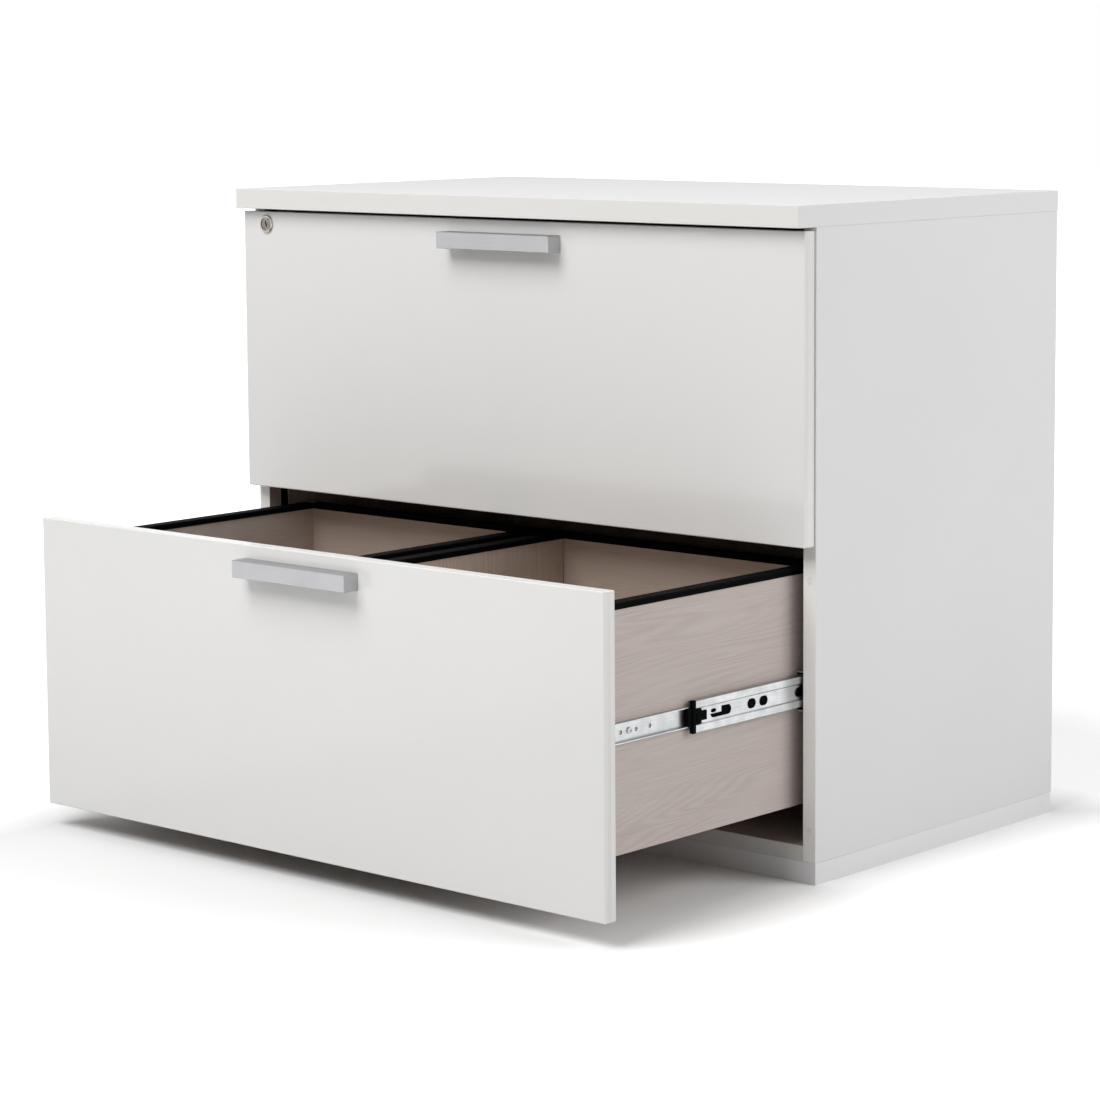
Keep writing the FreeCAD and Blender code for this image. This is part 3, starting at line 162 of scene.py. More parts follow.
def gloss_lacquer():
    """Lacquer, but drawn strip where the distance from the middle is past the edge's plane."""
    made, tree, place = start("polished_white_lacquer")
    drift = add(tree, "ShaderNodeTexNoise",
                {"Vector": place, "Scale": per(LACQUER_DRIFT_MM), "Detail": 2.0})
    face = add(tree, "ShaderNodeMix", {"Factor": drift, "A": LACQUER_LIGHT, "B": LACQUER_DARK},
               data_type="RGBA")
    run = per(STRIP_RUN_MM)
    drawn = add(tree, "ShaderNodeMapping",
                {"Vector": place, "Scale": (run, per(STRIP_LINE_MM), run)})
    lines = add(tree, "ShaderNodeTexNoise", {"Vector": drawn, "Scale": 1.0, "Detail": 2.0})
    share = add(tree, "ShaderNodeMapRange", {"Value": lines, "From Min": 0.35, "From Max": 0.65})
    strip = add(tree, "ShaderNodeMix", {"Factor": share, "A": STRIP_LIGHT, "B": STRIP_DARK},
                data_type="RGBA")
    spot = add(tree, "ShaderNodeSeparateXYZ", {0: place})
    reach = add(tree, "ShaderNodeMath", {0: spot.outputs[0]}, operation="ABSOLUTE")
    edge = add(tree, "ShaderNodeMath", {0: reach, 1: front_half - SKIN}, operation="GREATER_THAN")
    colour = add(tree, "ShaderNodeMix", {"Factor": edge, "A": face, "B": strip}, data_type="RGBA")
    peel = add(tree, "ShaderNodeTexNoise",
               {"Vector": place, "Scale": per(PEEL_MM), "Detail": 1.0})
    ripple = add(tree, "ShaderNodeBump", {"Height": peel, "Strength": 0.05, "Distance": 0.1 * MM})
    rough = add(tree, "ShaderNodeMapRange", {"Value": drift, "To Min": 0.1, "To Max": 0.16})
    shader = add(tree, "ShaderNodeBsdfPrincipled",
                 {"Base Color": colour, "Roughness": rough, "Normal": ripple, "IOR": 1.5})
    add(tree, "ShaderNodeOutputMaterial", {"Surface": shader})
    return made


lacquer = gloss_lacquer()
print(lacquer.name, "with", len(lacquer.node_tree.nodes), "nodes")

# %% [markdown]
# ## White melamine
# The top, the sides and the plinth are chipboard faced with white melamine paper, pressed on a
# plate with a fine pearl texture. It scatters light softly, so it reads as matt beside the fronts.
# A picture of the pearl would show its seams, so noise draws it, at about a millimetre, a little
# coarser than the real one, so that it still shows. Along the front, boards carry a strip of edge
# band that is slightly warmer than the faces.

# %% White melamine
EDGE_BAND = "#edebe8"
WHITE = ("#e3e3e3", "#dedede")
# the plinth's white is a paler copy of the boards' white: painted light on the plinth, which stands
# in shade under the drawer
PLINTH_WHITE_PAINTED_LIGHT = ("#ebeaeb", "#e6e5e6")
SPECK = "#d2d2d1"
PEARL_MM, PEARL_DRIFT_MM = 1.1, 220


def pearl(tree, place, light, dark):
    """White melamine as colour, roughness and height: a pearl of fine noise over a slow drift."""
    drift = add(tree, "ShaderNodeTexNoise",
                {"Vector": place, "Scale": per(PEARL_DRIFT_MM), "Detail": 2.0})
    grit = add(tree, "ShaderNodeTexNoise",
               {"Vector": place, "Scale": per(PEARL_MM), "Detail": 2.0})
    base = add(tree, "ShaderNodeMix", {"Factor": drift, "A": light, "B": dark}, data_type="RGBA")
    speck = add(tree, "ShaderNodeMapRange",
                {"Value": grit, "From Min": 0.3, "From Max": 0.7, "To Max": 0.12})
    colour = add(tree, "ShaderNodeMix", {"Factor": speck, "A": base, "B": SPECK}, data_type="RGBA")
    rough = add(tree, "ShaderNodeMapRange", {"Value": grit, "To Min": 0.44, "To Max": 0.58})
    return colour, rough, grit


def banded(tree, place, colour, edge, front):
    """The colour of a board, but its edge band's colour in front of a plane."""
    spot = add(tree, "ShaderNodeSeparateXYZ", {0: place})
    band = add(tree, "ShaderNodeMath", {0: spot.outputs[1], 1: front}, operation="LESS_THAN")
    return add(tree, "ShaderNodeMix", {"Factor": band, "A": colour, "B": edge}, data_type="RGBA")


def white_melamine(name, light, dark, front):
    """Pearl melamine with its edge band in front of a plane."""
    made, tree, place = start(name)
    face, rough, grit = pearl(tree, place, light, dark)
    colour = banded(tree, place, face, EDGE_BAND, front)
    bump = add(tree, "ShaderNodeBump", {"Height": grit, "Strength": 0.12, "Distance": 0.05 * MM})
    shader = add(tree, "ShaderNodeBsdfPrincipled",
                 {"Base Color": colour, "Roughness": rough, "Normal": bump})
    add(tree, "ShaderNodeOutputMaterial", {"Surface": shader})
    return made


# nothing lies in front of this plane, so no edge band shows
no_band = cad_box[0][1]
top_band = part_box("top_panel")[0].y + SKIN
melamine = white_melamine("pearl_white_melamine", *WHITE, no_band)
top_melamine = white_melamine("pearl_white_top", *WHITE, top_band)
plinth_painted_light_melamine = white_melamine("pearl_white_plinth_painted_light", *PLINTH_WHITE_PAINTED_LIGHT, no_band)
print(melamine.name, "with", len(melamine.node_tree.nodes), "nodes")

# %% [markdown]
# ## Wood-grain melamine
# The drawer boxes and the inner faces of the carcass carry a pale grey-beige wood print with an
# embossed grain. A wood print is two things at once: growth lines that bow and taper, and fine
# fibres that run with them. A wave texture could draw the lines, but its bands are too even, so
# they are contour lines of a stretched noise, which bow by themselves; the fibres are a much finer
# stretched noise. The lines come and go in patches, and both stay faint, as on the real boards. The
# grain doesn't run the same way on every board, so each print names its axis.

# %% Wood-grain melamine
OUTER_PRINT = ("#c2b7b1", "#aca09a")
# inside the drawer boxes the print is a warmer copy of the outer one: painted warm shade, for light
# bounced between wood faces
WARM_SHADE_PRINT = ("#c8b9ad", "#b3a195")
# radians between the noise's lowest and highest value: about 43 growth lines
GROWTH_ANGLE = 270.0
# each noise: millimetres across the grain, millimetres along it, detail
GROWTH, PATCHES = (64, 900, 1.5), (70, 190, 1.0)
FIBRES, STREAKS = (1.2, 46, 3.0), (9, 380, 2.0)
PRINT_ROUGH = 0.5


def stretched(tree, place, along, across_mm, run_mm, detail):
    """Noise with one size across an axis and a longer one along it."""
    scale = [per(across_mm)] * 3
    scale["XYZ".index(along)] = per(run_mm)
    drawn = add(tree, "ShaderNodeMapping", {"Vector": place, "Scale": scale})
    return add(tree, "ShaderNodeTexNoise", {"Vector": drawn, "Scale": 1.0, "Detail": detail})


def grain(tree, place, along, light, dark):
    """Wood print as colour and height. Growth lines are the sine of a stretched noise times a large
    angle, stronger in the patches of a second noise; fibres and streaks are finer noises added to
    them."""
    growth = stretched(tree, place, along, *GROWTH)
    patches = stretched(tree, place, along, *PATCHES)
    fibres = stretched(tree, place, along, *FIBRES)
    streaks = stretched(tree, place, along, *STREAKS)
    angle = add(tree, "ShaderNodeMath", {0: growth, 1: GROWTH_ANGLE}, operation="MULTIPLY")
    lines = add(tree, "ShaderNodeMath", {0: angle}, operation="SINE")
    crest = add(tree, "ShaderNodeMapRange", {"Value": lines, "From Min": -1.0})
    depth = add(tree, "ShaderNodeMapRange", {"Value": patches, "From Min": 0.38, "From Max": 0.58,
                                             "To Min": 0.12, "To Max": 0.4})
    line_share = add(tree, "ShaderNodeMath", {0: crest, 1: depth}, operation="MULTIPLY")
    fibre_share = add(tree, "ShaderNodeMapRange",
                      {"Value": fibres, "From Min": 0.3, "From Max": 0.7, "To Max": 0.4})
    streak_share = add(tree, "ShaderNodeMapRange",
                       {"Value": streaks, "From Min": 0.3, "From Max": 0.7, "To Max": 0.12})
    fine = add(tree, "ShaderNodeMath", {0: line_share, 1: fibre_share}, operation="ADD")
    share = add(tree, "ShaderNodeMath", {0: fine, 1: streak_share}, operation="ADD")
    colour = add(tree, "ShaderNodeMix", {"Factor": share, "A": light, "B": dark}, data_type="RGBA")
    return colour, fine


def grained(name, along, light, dark, rough):
    """A finish of grain all over, embossed where its lines and fibres are."""
    made, tree, place = start(name)
    colour, height = grain(tree, place, along, light, dark)
    bump = add(tree, "ShaderNodeBump", {"Height": height, "Strength": 0.2, "Distance": 0.08 * MM})
    shader = add(tree, "ShaderNodeBsdfPrincipled",
                 {"Base Color": colour, "Roughness": rough, "Normal": bump})
    add(tree, "ShaderNodeOutputMaterial", {"Surface": shader})
    return made


# the prints along X and Z, on the boards inside the drawer boxes, are the warmer painted-shade copy
prints = {"Y": OUTER_PRINT, "X": WARM_SHADE_PRINT, "Z": WARM_SHADE_PRINT}
print_along = {along: grained(f"woodgrain_melamine_{along.lower()}", along, *tones, PRINT_ROUGH)
               for along, tones in prints.items()}
print("wood print along", ", ".join(print_along))

# %% [markdown]
# ## Boards with two faces
# The carcass boards are white outside and wood print inside, with edge band along the front. Each
# face could have a material slot of its own, but a imported mesh is left alone, so the finish itself
# asks where it is: a plane just under the inner face parts the print from the white, and a plane
# just behind the front edge parts the band.

# %% Boards with two faces
# the side panels' band is a lighter copy of the edge band: painted light on their front edges
SIDE_BAND_PAINTED_LIGHT, BOTTOM_BAND = "#f3f1ee", "#d6d3cf"


def two_faced(name, along, axis, plane, side, edge, front):
    """White melamine, but wood print on one side of a plane, and edge band in front of another."""
    made, tree, place = start(name)
    colour, rough, grit = pearl(tree, place, *WHITE)
    printed, height = grain(tree, place, along, *OUTER_PRINT)
    spot = add(tree, "ShaderNodeSeparateXYZ", {0: place})
    inside = add(tree, "ShaderNodeMath", {0: spot.outputs["XYZ".index(axis)], 1: plane},
                 operation="GREATER_THAN" if side > 0 else "LESS_THAN")
    both = add(tree, "ShaderNodeMix", {"Factor": inside, "A": colour, "B": printed},
               data_type="RGBA")
    all_three = banded(tree, place, both, edge, front)
    relief = add(tree, "ShaderNodeMix", {"Factor": inside, "A": grit, "B": height})
    bump = add(tree, "ShaderNodeBump", {"Height": relief, "Strength": 0.15, "Distance": 0.06 * MM})
    shader = add(tree, "ShaderNodeBsdfPrincipled",
                 {"Base Color": all_three, "Roughness": rough, "Normal": bump})
    add(tree, "ShaderNodeOutputMaterial", {"Surface": shader})
    return made


front_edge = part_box("right_side_panel")[0].y + SKIN
# board: axis of the grain, axis across the faces, plane, side of the print, edge band
two_faced_boards = {
    "bottom_panel": ("X", "Z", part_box("bottom_panel")[1].z - SKIN, 1, BOTTOM_BAND),
    "right_side_panel": ("Z", "X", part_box("right_side_panel")[0].x + SKIN, -1, SIDE_BAND_PAINTED_LIGHT),
    "left_side_panel": ("Z", "X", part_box("left_side_panel")[1].x - SKIN, 1, SIDE_BAND_PAINTED_LIGHT),
    "back_panel": ("X", "Y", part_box("back_panel")[0].y + SKIN, -1, EDGE_BAND),
}
board_finish = {board: two_faced(f"white_and_print_{board}", *faces, front_edge)
                for board, faces in two_faced_boards.items()}
print(len(board_finish), "boards are white outside and printed inside")

# %% [markdown]
# ## Plastics
# The file rails are extruded black plastic: nearly black and satin, so hardly any light comes back.
# The stops on the slides are moulded in the same black. The bumper pads are soft clear
# polyurethane. They could bend light as glass does, but a pad that thin mostly shows what is behind
# it, so it is simply nearly see-through, with a gloss of its own.

# %% Plastics
BLACK_LIGHT, BLACK_DARK = "#101112", "#0b0c0c"
RESIN_LIGHT, RESIN_DARK = "#efeeea", "#e4e2dc"
BLACK_GRIT_MM, BLACK_CLOUD_MM, RESIN_CLOUD_MM = 0.8, 60, 3


def black_plastic():
    """Two blacks in slow clouds, with a fine grit as relief."""
    made, tree, place = start("extruded_black_plastic")
    grit = add(tree, "ShaderNodeTexNoise",
               {"Vector": place, "Scale": per(BLACK_GRIT_MM), "Detail": 2.0})
    cloud = add(tree, "ShaderNodeTexNoise",
                {"Vector": place, "Scale": per(BLACK_CLOUD_MM), "Detail": 2.0})
    colour = add(tree, "ShaderNodeMix", {"Factor": cloud, "A": BLACK_LIGHT, "B": BLACK_DARK},
                 data_type="RGBA")
    rough = add(tree, "ShaderNodeMapRange", {"Value": cloud, "To Min": 0.42, "To Max": 0.55})
    bump = add(tree, "ShaderNodeBump", {"Height": grit, "Strength": 0.08, "Distance": 0.05 * MM})
    shader = add(tree, "ShaderNodeBsdfPrincipled",
                 {"Base Color": colour, "Roughness": rough, "Normal": bump,
                  "Specular IOR Level": 0.005})
    add(tree, "ShaderNodeOutputMaterial", {"Surface": shader})
    return made


def clear_bumper():
    """A faintly clouded pale resin that lets most of the board through."""
    made, tree, place = start("cast_clear_polyurethane")
    cloud = add(tree, "ShaderNodeTexNoise",
                {"Vector": place, "Scale": per(RESIN_CLOUD_MM), "Detail": 1.0})
    colour = add(tree, "ShaderNodeMix", {"Factor": cloud, "A": RESIN_LIGHT, "B": RESIN_DARK},
                 data_type="RGBA")
    rough = add(tree, "ShaderNodeMapRange", {"Value": cloud, "To Min": 0.1, "To Max": 0.2})
    shader = add(tree, "ShaderNodeBsdfPrincipled",
                 {"Base Color": colour, "Roughness": rough, "Alpha": 0.1, "IOR": 1.49})
    add(tree, "ShaderNodeOutputMaterial", {"Surface": shader})
    return made


plastics = {"black_plastic": black_plastic(), "clear_bumper": clear_bumper()}
print("plastics:", ", ".join(made.name for made in plastics.values()))

# %% [markdown]
# ## Metals
# Bright zinc on the slides is rolled strip: it shines in soft blotches and has fine lines along the
# strip. The handles are satin anodised aluminium with a barely visible brush along their length.
# The lock is polished nickel, its plug turned and painted darker for the dark reflection that it
# shows. Anisotropic gloss could stretch the highlights along the lines, but from a step away noise in
# colour and roughness gives the same look, so one recipe serves all four. The locking bar, its hooks
# and the ball cages have a black baked coat.

# %% Metals
LINE_STRETCH, LINE_DETAIL = 50, 2.0
ENAMEL_DARK, ENAMEL_LIGHT = "#060607", "#0a0a0b"
ENAMEL_MM = 2


def rolled_metal(name, along, light, dark, blotch_mm, line_mm, rough_low, rough_high):
    """A metal with blotches and fine lines along one axis: both are noise, the lines stretched."""
    made, tree, place = start(name)
    lines = stretched(tree, place, along, line_mm, line_mm * LINE_STRETCH, LINE_DETAIL)
    blotch = add(tree, "ShaderNodeTexNoise",
                 {"Vector": place, "Scale": per(blotch_mm), "Detail": 3.0})
    both = add(tree, "ShaderNodeMath", {0: lines, 1: blotch}, operation="ADD")
    share = add(tree, "ShaderNodeMapRange", {"Value": both, "From Min": 0.75, "From Max": 1.25})
    colour = add(tree, "ShaderNodeMix", {"Factor": share, "A": light, "B": dark}, data_type="RGBA")
    rough = add(tree, "ShaderNodeMapRange", {"Value": both, "From Min": 0.7, "From Max": 1.3,
                                             "To Min": rough_low, "To Max": rough_high})
    bump = add(tree, "ShaderNodeBump", {"Height": lines, "Strength": 0.1, "Distance": 0.03 * MM})
    shader = add(tree, "ShaderNodeBsdfPrincipled",
                 {"Base Color": colour, "Roughness": rough, "Normal": bump, "Metallic": 1.0})
    add(tree, "ShaderNodeOutputMaterial", {"Surface": shader})
    return made


def black_steel():
    """Baked enamel: two blacks and a soft relief from one fine noise."""
    made, tree, place = start("black_baked_enamel")
    cloud = add(tree, "ShaderNodeTexNoise",
                {"Vector": place, "Scale": per(ENAMEL_MM), "Detail": 2.0})
    colour = add(tree, "ShaderNodeMix", {"Factor": cloud, "A": ENAMEL_DARK, "B": ENAMEL_LIGHT},
                 data_type="RGBA")
    rough = add(tree, "ShaderNodeMapRange", {"Value": cloud, "To Min": 0.45, "To Max": 0.6})
    bump = add(tree, "ShaderNodeBump", {"Height": cloud, "Strength": 0.1, "Distance": 0.05 * MM})
    shader = add(tree, "ShaderNodeBsdfPrincipled",
                 {"Base Color": colour, "Roughness": rough, "Normal": bump,
                  "Specular IOR Level": 0.01})
    add(tree, "ShaderNodeOutputMaterial", {"Surface": shader})
    return made


# slot: name, axis of the lines, light, dark, blotch mm, line mm, lowest and highest roughness
ROLLED = {
    "zinc_steel": ("bright_zinc_strip", "Y", "#c6c8c9", "#b0b3b4", 16, 0.6, 0.28, 0.4),
    "satin_aluminium": ("satin_anodised_aluminium", "X", "#b8b8ba", "#b4b4b6", 60, 0.4, 0.5, 0.56),
    "nickel_plate": ("polished_nickel", "Z", "#b4afa8", "#a29d96", 8, 0.6, 0.14, 0.22),
    # the plug's darker nickel is a painted dark reflection
    "lock_plug": ("turned_nickel_painted_dark_reflection", "X", "#8f8a84", "#77726c", 4, 0.3, 0.16, 0.26),
}
metals = {slot: rolled_metal(*recipe) for slot, recipe in ROLLED.items()}
metals["black_steel"] = black_steel()
print("metals:", ", ".join(made.name for made in metals.values()))

# %% [markdown]
# ## Beech
# The dowels that hold the carcass together are turned beech. They are hidden inside the boards, and
# a plain colour would do until a model is taken apart, but the grain is there already, so they get
# the same growth lines as the print, in beech colours.

# %% Beech
BEECH = ("#d9b78c", "#bd9263")
BEECH_ROUGH = 0.6
dowel_wood = grained("turned_beech", "Z", *BEECH, BEECH_ROUGH)
print(dowel_wood.name, "with", len(dowel_wood.node_tree.nodes), "nodes")

# %% [markdown]
# ## Give every piece its finish
# A finish could be given to each piece by hand, in the list of materials. The imported record already
# says which finish a piece has, so most pieces take theirs from there. The others are named one by
# one: boards with two faces or with a grain along another axis, whose print inside the drawer boxes
# is warmer to paint the warm shade there, the top with its edge band, the plinth in a paler white
# that paints light onto it, and the plug of the lock in a darker nickel that paints its dark
# reflection.

# %% Give every piece its finish
DRAWERS = ("lower", "upper")
finishes = {
    "gloss_white_front": lacquer,
    "white_laminate": melamine,
    "woodgrain_melamine": print_along["Y"],
    "beech_dowel": dowel_wood,
    **plastics,
    **metals,
}
own_finish = {**board_finish, "top_panel": top_melamine, "lock_plug": metals["lock_plug"]}
own_finish.update({name: plinth_painted_light_melamine for name in nodes if name.startswith("plinth")})
for drawer in DRAWERS:
    for board in ("box_back", "box_front", "box_bottom"):
        own_finish[f"{drawer}_{board}"] = print_along["X"]
    for board in ("left_divider", "right_divider"):
        own_finish[f"{drawer}_{board}"] = print_along["Z"]
for name, piece in nodes.items():
    piece.data.materials.clear()
    piece.data.materials.append(own_finish.get(name, finishes[slot_of[name]]))
used = {piece.data.materials[0] for piece in nodes.values()}
print(len(used), "finishes on", len(nodes), "pieces")

# %% [markdown]
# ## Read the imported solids
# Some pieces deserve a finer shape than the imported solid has: rails with soft shoulders, domed
# pads, screws with a driver recess. Each takes its place from the solid that it stands for. A
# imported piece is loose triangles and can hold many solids, such as a set of screws. Blender can
# part loose pieces in edit mode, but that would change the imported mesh, so these tools join the
# triangles and part the solids on arrays of their own.

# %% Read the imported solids
# decimals of a metre: corners in the same thousandth of a millimetre are one point
JOIN_DECIMALS = 6


def joined(node):
    """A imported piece's corner points, each kept once, and its triangles as rows of three point
    numbers."""
    mesh = nodes[node].data
    corners = np.empty(len(mesh.vertices) * 3)
    mesh.vertices.foreach_get("co", corners)
    rounded = np.round(corners.reshape(-1, 3), JOIN_DECIMALS)
    points, merged = np.unique(rounded, axis=0, return_inverse=True)
    mesh.calc_loop_triangles()
    triangles = np.empty(len(mesh.loop_triangles) * 3, dtype=int)
    mesh.loop_triangles.foreach_get("vertices", triangles)
    return points, merged.reshape(-1)[triangles].reshape(-1, 3)


def solids(node):
    """The corner points of each separate solid of a node: triangles that share a corner share a
    label, and each corner takes the lowest label that its triangles hold, until nothing changes."""
    points, triangles = joined(node)
    label = np.arange(len(points))
    settled = False
    while not settled:
        lowest = label.copy()
        np.minimum.at(lowest, triangles.ravel(), np.repeat(label[triangles].min(axis=1), 3))
        lowest = lowest[lowest]
        settled = np.array_equal(lowest, label)
        label = lowest
    return [points[label == one] for one in np.unique(label)]


print("the lower drawer's screws are", len(solids("lower_drawer_screws")), "solids")

# %% [markdown]
# ## Make a piece
# A new shape could be built face by face. Here it is a surface worked out as a grid of points, rows
# by columns, so its faces follow from counting: every point is joined to its neighbours in the next
# column and the next row. Faces have to point outwards, so the surface's volume is worked out with
# its sign, and where that is negative the faces are turned round.

# %% Make a piece
SHARP_ANGLE = math.radians(40)


def closed_tube(rings):
    """A closed surface from rings of points, rows by columns: quads between the rings, whose last
    column meets the first, and one face on each end."""
    rows, columns = rings.shape[:2]
    row, column = np.meshgrid(np.arange(rows - 1), np.arange(columns), indexing="ij")
    after = (column + 1) % columns
    quads = np.stack([row * columns + column, row * columns + after,
                      (row + 1) * columns + after, (row + 1) * columns + column], axis=-1)
    ends = np.stack([np.arange(columns)[::-1], np.arange(columns) + (rows - 1) * columns])
    return rings.reshape(-1, 3), quads.reshape(-1, 4), ends


def fans(faces):
    """Faces as triangles: each face's first corner with every two neighbours after it."""
    first = np.repeat(faces[:, :1], faces.shape[1] - 2, axis=1)
    return np.stack([first, faces[:, 1:-1], faces[:, 2:]], axis=-1).reshape(-1, 3)


def place_piece(name, mesh, stands_for):
    """One object that rides on the same body, and has the same finish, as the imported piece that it
    stands for."""
    mesh.materials.append(nodes[stands_for].data.materials[0])
    made = bpy.data.objects.new(name, mesh)
    bpy.context.scene.collection.objects.link(made)
    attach(made, nodes[stands_for]["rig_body"])
    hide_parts(stands_for)
    return made


def add_piece(name, surfaces, stands_for):
    """One object made of several closed surfaces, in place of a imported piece. The sign of a
    surface's volume is that of the sum, over its triangles, of one corner times the cross product
    of the other two."""
    points, faces, first = [], [], 0
    for corners, quads, ends in surfaces:
        triangles = np.concatenate([fans(quads), fans(ends)])
        one, two, three = (corners - corners.mean(axis=0))[triangles].swapaxes(0, 1)
        turn = 1 if (one * np.cross(two, three)).sum() > 0 else -1
        faces += (first + quads[:, ::turn]).tolist() + (first + ends[:, ::turn]).tolist()
        points.append(corners)
        first += len(corners)
    mesh = bpy.data.meshes.new(name)
    mesh.from_pydata(np.concatenate(points).tolist(), [], faces)
    mesh.shade_smooth()
    mesh.set_sharp_from_angle(angle=SHARP_ANGLE)
    return place_piece(name, mesh, stands_for)


print("edges sharper than", round(math.degrees(SHARP_ANGLE)), "degrees stay sharp")

# %% [markdown]
# ## Soft board edges
# Edge band is trimmed to a small radius, so a board's outer edges are never knife-sharp: they catch
# a line of light, and two boards that meet leave a fine dark seam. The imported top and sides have
# that radius already, and the bottom and the plinth get it here. A rounded box could be drawn anew,
# but the bores would have to be drawn too. So each board is copied, its loose triangles are joined,
# and a bevel rounds the edges of its outer box, while the bores stay as they are. The plinth is
# mitred, so its upright corners stay closed and only its top edges are rounded.

# %% Soft board edges
EDGE_ROUND = 1.0 * MM
EDGE_STEPS = 2
PLANE_TOLERANCE = 0.03 * MM
TOP_PLANE = 5
SOFT_BOARDS = ("bottom_panel", "plinth_front", "plinth_left", "plinth_right", "plinth_back")


def soft_board(node, only_top):
    """A copy of a board with rounded outer edges: an edge counts where both of its ends lie on two
    of the box's six planes, three low ones and then three high ones."""
    points, triangles = joined(node)
    mesh = bpy.data.meshes.new(f"soft_{node}")
    mesh.from_pydata(points.tolist(), [], triangles.tolist())
    ends = np.empty(len(mesh.edges) * 2, dtype=int)
    mesh.edges.foreach_get("vertices", ends)
    limits = (points.min(axis=0), points.max(axis=0))
    on = np.hstack([np.isclose(points, limit, atol=PLANE_TOLERANCE) for limit in limits])
    both = on[ends[::2]] & on[ends[1::2]]
    outer = (both.sum(axis=1) > 1) & (both[:, TOP_PLANE] | (not only_top))
    weight = mesh.attributes.new("bevel_weight_edge", "FLOAT", "EDGE")
    weight.data.foreach_set("value", outer.astype(np.float32))
    made = place_piece(f"soft_{node}", mesh, node)
    bevel = made.modifiers.new("trimmed edge", "BEVEL")
    bevel.limit_method = "WEIGHT"
    bevel.width = EDGE_ROUND
    bevel.segments = EDGE_STEPS
    return made, int(outer.sum())


for board in SOFT_BOARDS:
    made, rounded = soft_board(board, board.startswith("plinth"))
    print(made.name, "has", rounded, "rounded edges")

# %% [markdown]
# ## File rails
# Hanging folders ride on black plastic rails that are pushed over the top edges of the box sides,
# the back and the dividers. An extruded rail has soft shoulders, which catch a thin line of light,
# and a groove under its lip with a skirt below it. A bevelled curve could carry such an outline,
# but rows of points end in clean, flat faces: one outline is drawn around the board's edge and
# carried along each rail.

# %% File rails
SHOULDER = 1.0 * MM
FOOT_ROUND = 0.4 * MM
GROOVE_DROP = 2.6 * MM
GROOVE_WIDTH = 1.5 * MM
GROOVE_DEPTH = 1.0 * MM
SKIRT_STEP = 0.35 * MM
ARC_STEPS = 7


def rail_outline(width, height, thickness, lip):
    """Half of the outline and its mirror image: out along the skirt's foot, round its corner, up
    the skirt, into the groove and out to the lip, then round the shoulder in a quarter circle to
    the top. The two corners that sit on the board close it."""
    half_width = width / 2
    quarter = np.linspace(0, math.pi / 2, ARC_STEPS)
    skirt = half_width - SKIRT_STEP
    groove_top = height - GROOVE_DROP
    groove_foot = groove_top - GROOVE_WIDTH
    foot = np.stack([skirt - FOOT_ROUND + FOOT_ROUND * np.sin(quarter),
                     FOOT_ROUND - FOOT_ROUND * np.cos(quarter)], 1)
    groove = np.array([(skirt, groove_foot), (half_width - GROOVE_DEPTH, groove_foot),
                       (half_width - GROOVE_DEPTH, groove_top), (half_width, groove_top)])
    shoulder = np.stack([half_width - SHOULDER + SHOULDER * np.cos(quarter),
                         height - SHOULDER + SHOULDER * np.sin(quarter)], 1)
    right = np.concatenate([[(thickness / 2, 0)], foot, groove, shoulder])
    left = right[::-1] * (-1, 1)
    inside = np.array([(-thickness / 2, height - lip), (thickness / 2, height - lip)])
    return np.concatenate([right, left, inside])


def file_rail(points, thickness, board_top):
    """The outline carried along the longer side of a solid's box, from end to end."""
    low, high = points.min(axis=0), points.max(axis=0)
    run = int(np.argmax((high - low)[:2]))
    side = 1 - run
    width, height = high[side] - low[side], high[2] - low[2]
    outline = rail_outline(width, height, thickness, high[2] - board_top)
    rings = np.empty((2, len(outline), 3))
    rings[:, :, side] = (low[side] + high[side]) / 2 + outline[:, 0]
    rings[:, :, 2] = low[2] + outline[:, 1]
    rings[:, :, run] = np.array([[low[run]], [high[run]]])
    return closed_tube(rings)


for drawer in DRAWERS:
    side_low, side_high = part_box(f"{drawer}_box_right_side")
    thickness = side_high.x - side_low.x
    packed = f"{drawer}_file_rails"
    rails = [file_rail(points, thickness, side_high.z) for points in solids(packed)]
    made = add_piece(f"{drawer}_rail_extrusions", rails, packed)
    print(made.name, "has", len(rails), "rails and", len(made.data.polygons), "faces")

# %% [markdown]
# ## Bumper pads
# Small clear pads on the front edges of the side panels take the knock when a drawer shuts. Each is
# a low dome with a soft rim. A flattened ball would have too thin a rim, so the pad is turned:
# rings shrink and rise along a quarter of a superellipse, which is fuller than a circle. A pad
# stands a hair off the board, because two faces in one plane flicker.

# %% Bumper pads
DOME_POWER = 0.62
DOME_END_SHARE = 0.97
PAD_LIFT = 0.05 * MM
DOME_RINGS = 9
DOME_SIDES = 36


def dome(points):
    """Rings around Y: radius and rise are the cosine and sine of a quarter turn, each raised to a
    power under 1, and the turn stops just short of its end to leave a small flat top."""
    low, high = points.min(axis=0), points.max(axis=0)
    middle = (low + high) / 2
    foot = high[1] - PAD_LIFT
    rise = np.linspace(0, math.pi / 2 * DOME_END_SHARE, DOME_RINGS)[:, None]
    turn = np.linspace(0, 2 * math.pi, DOME_SIDES, endpoint=False)[None, :]
    radius = (high[0] - low[0]) / 2 * np.cos(rise) ** DOME_POWER
    rings = np.stack([middle[0] + radius * np.cos(turn),
                      foot - (foot - low[1]) * np.sin(rise) ** DOME_POWER + 0 * turn,
                      middle[2] + radius * np.sin(turn)], axis=-1)
    return closed_tube(rings)


made = add_piece("bumper_domes", [dome(points) for points in solids("bumper_pads")], "bumper_pads")
print(made.name, "has", len(made.data.polygons), "faces")

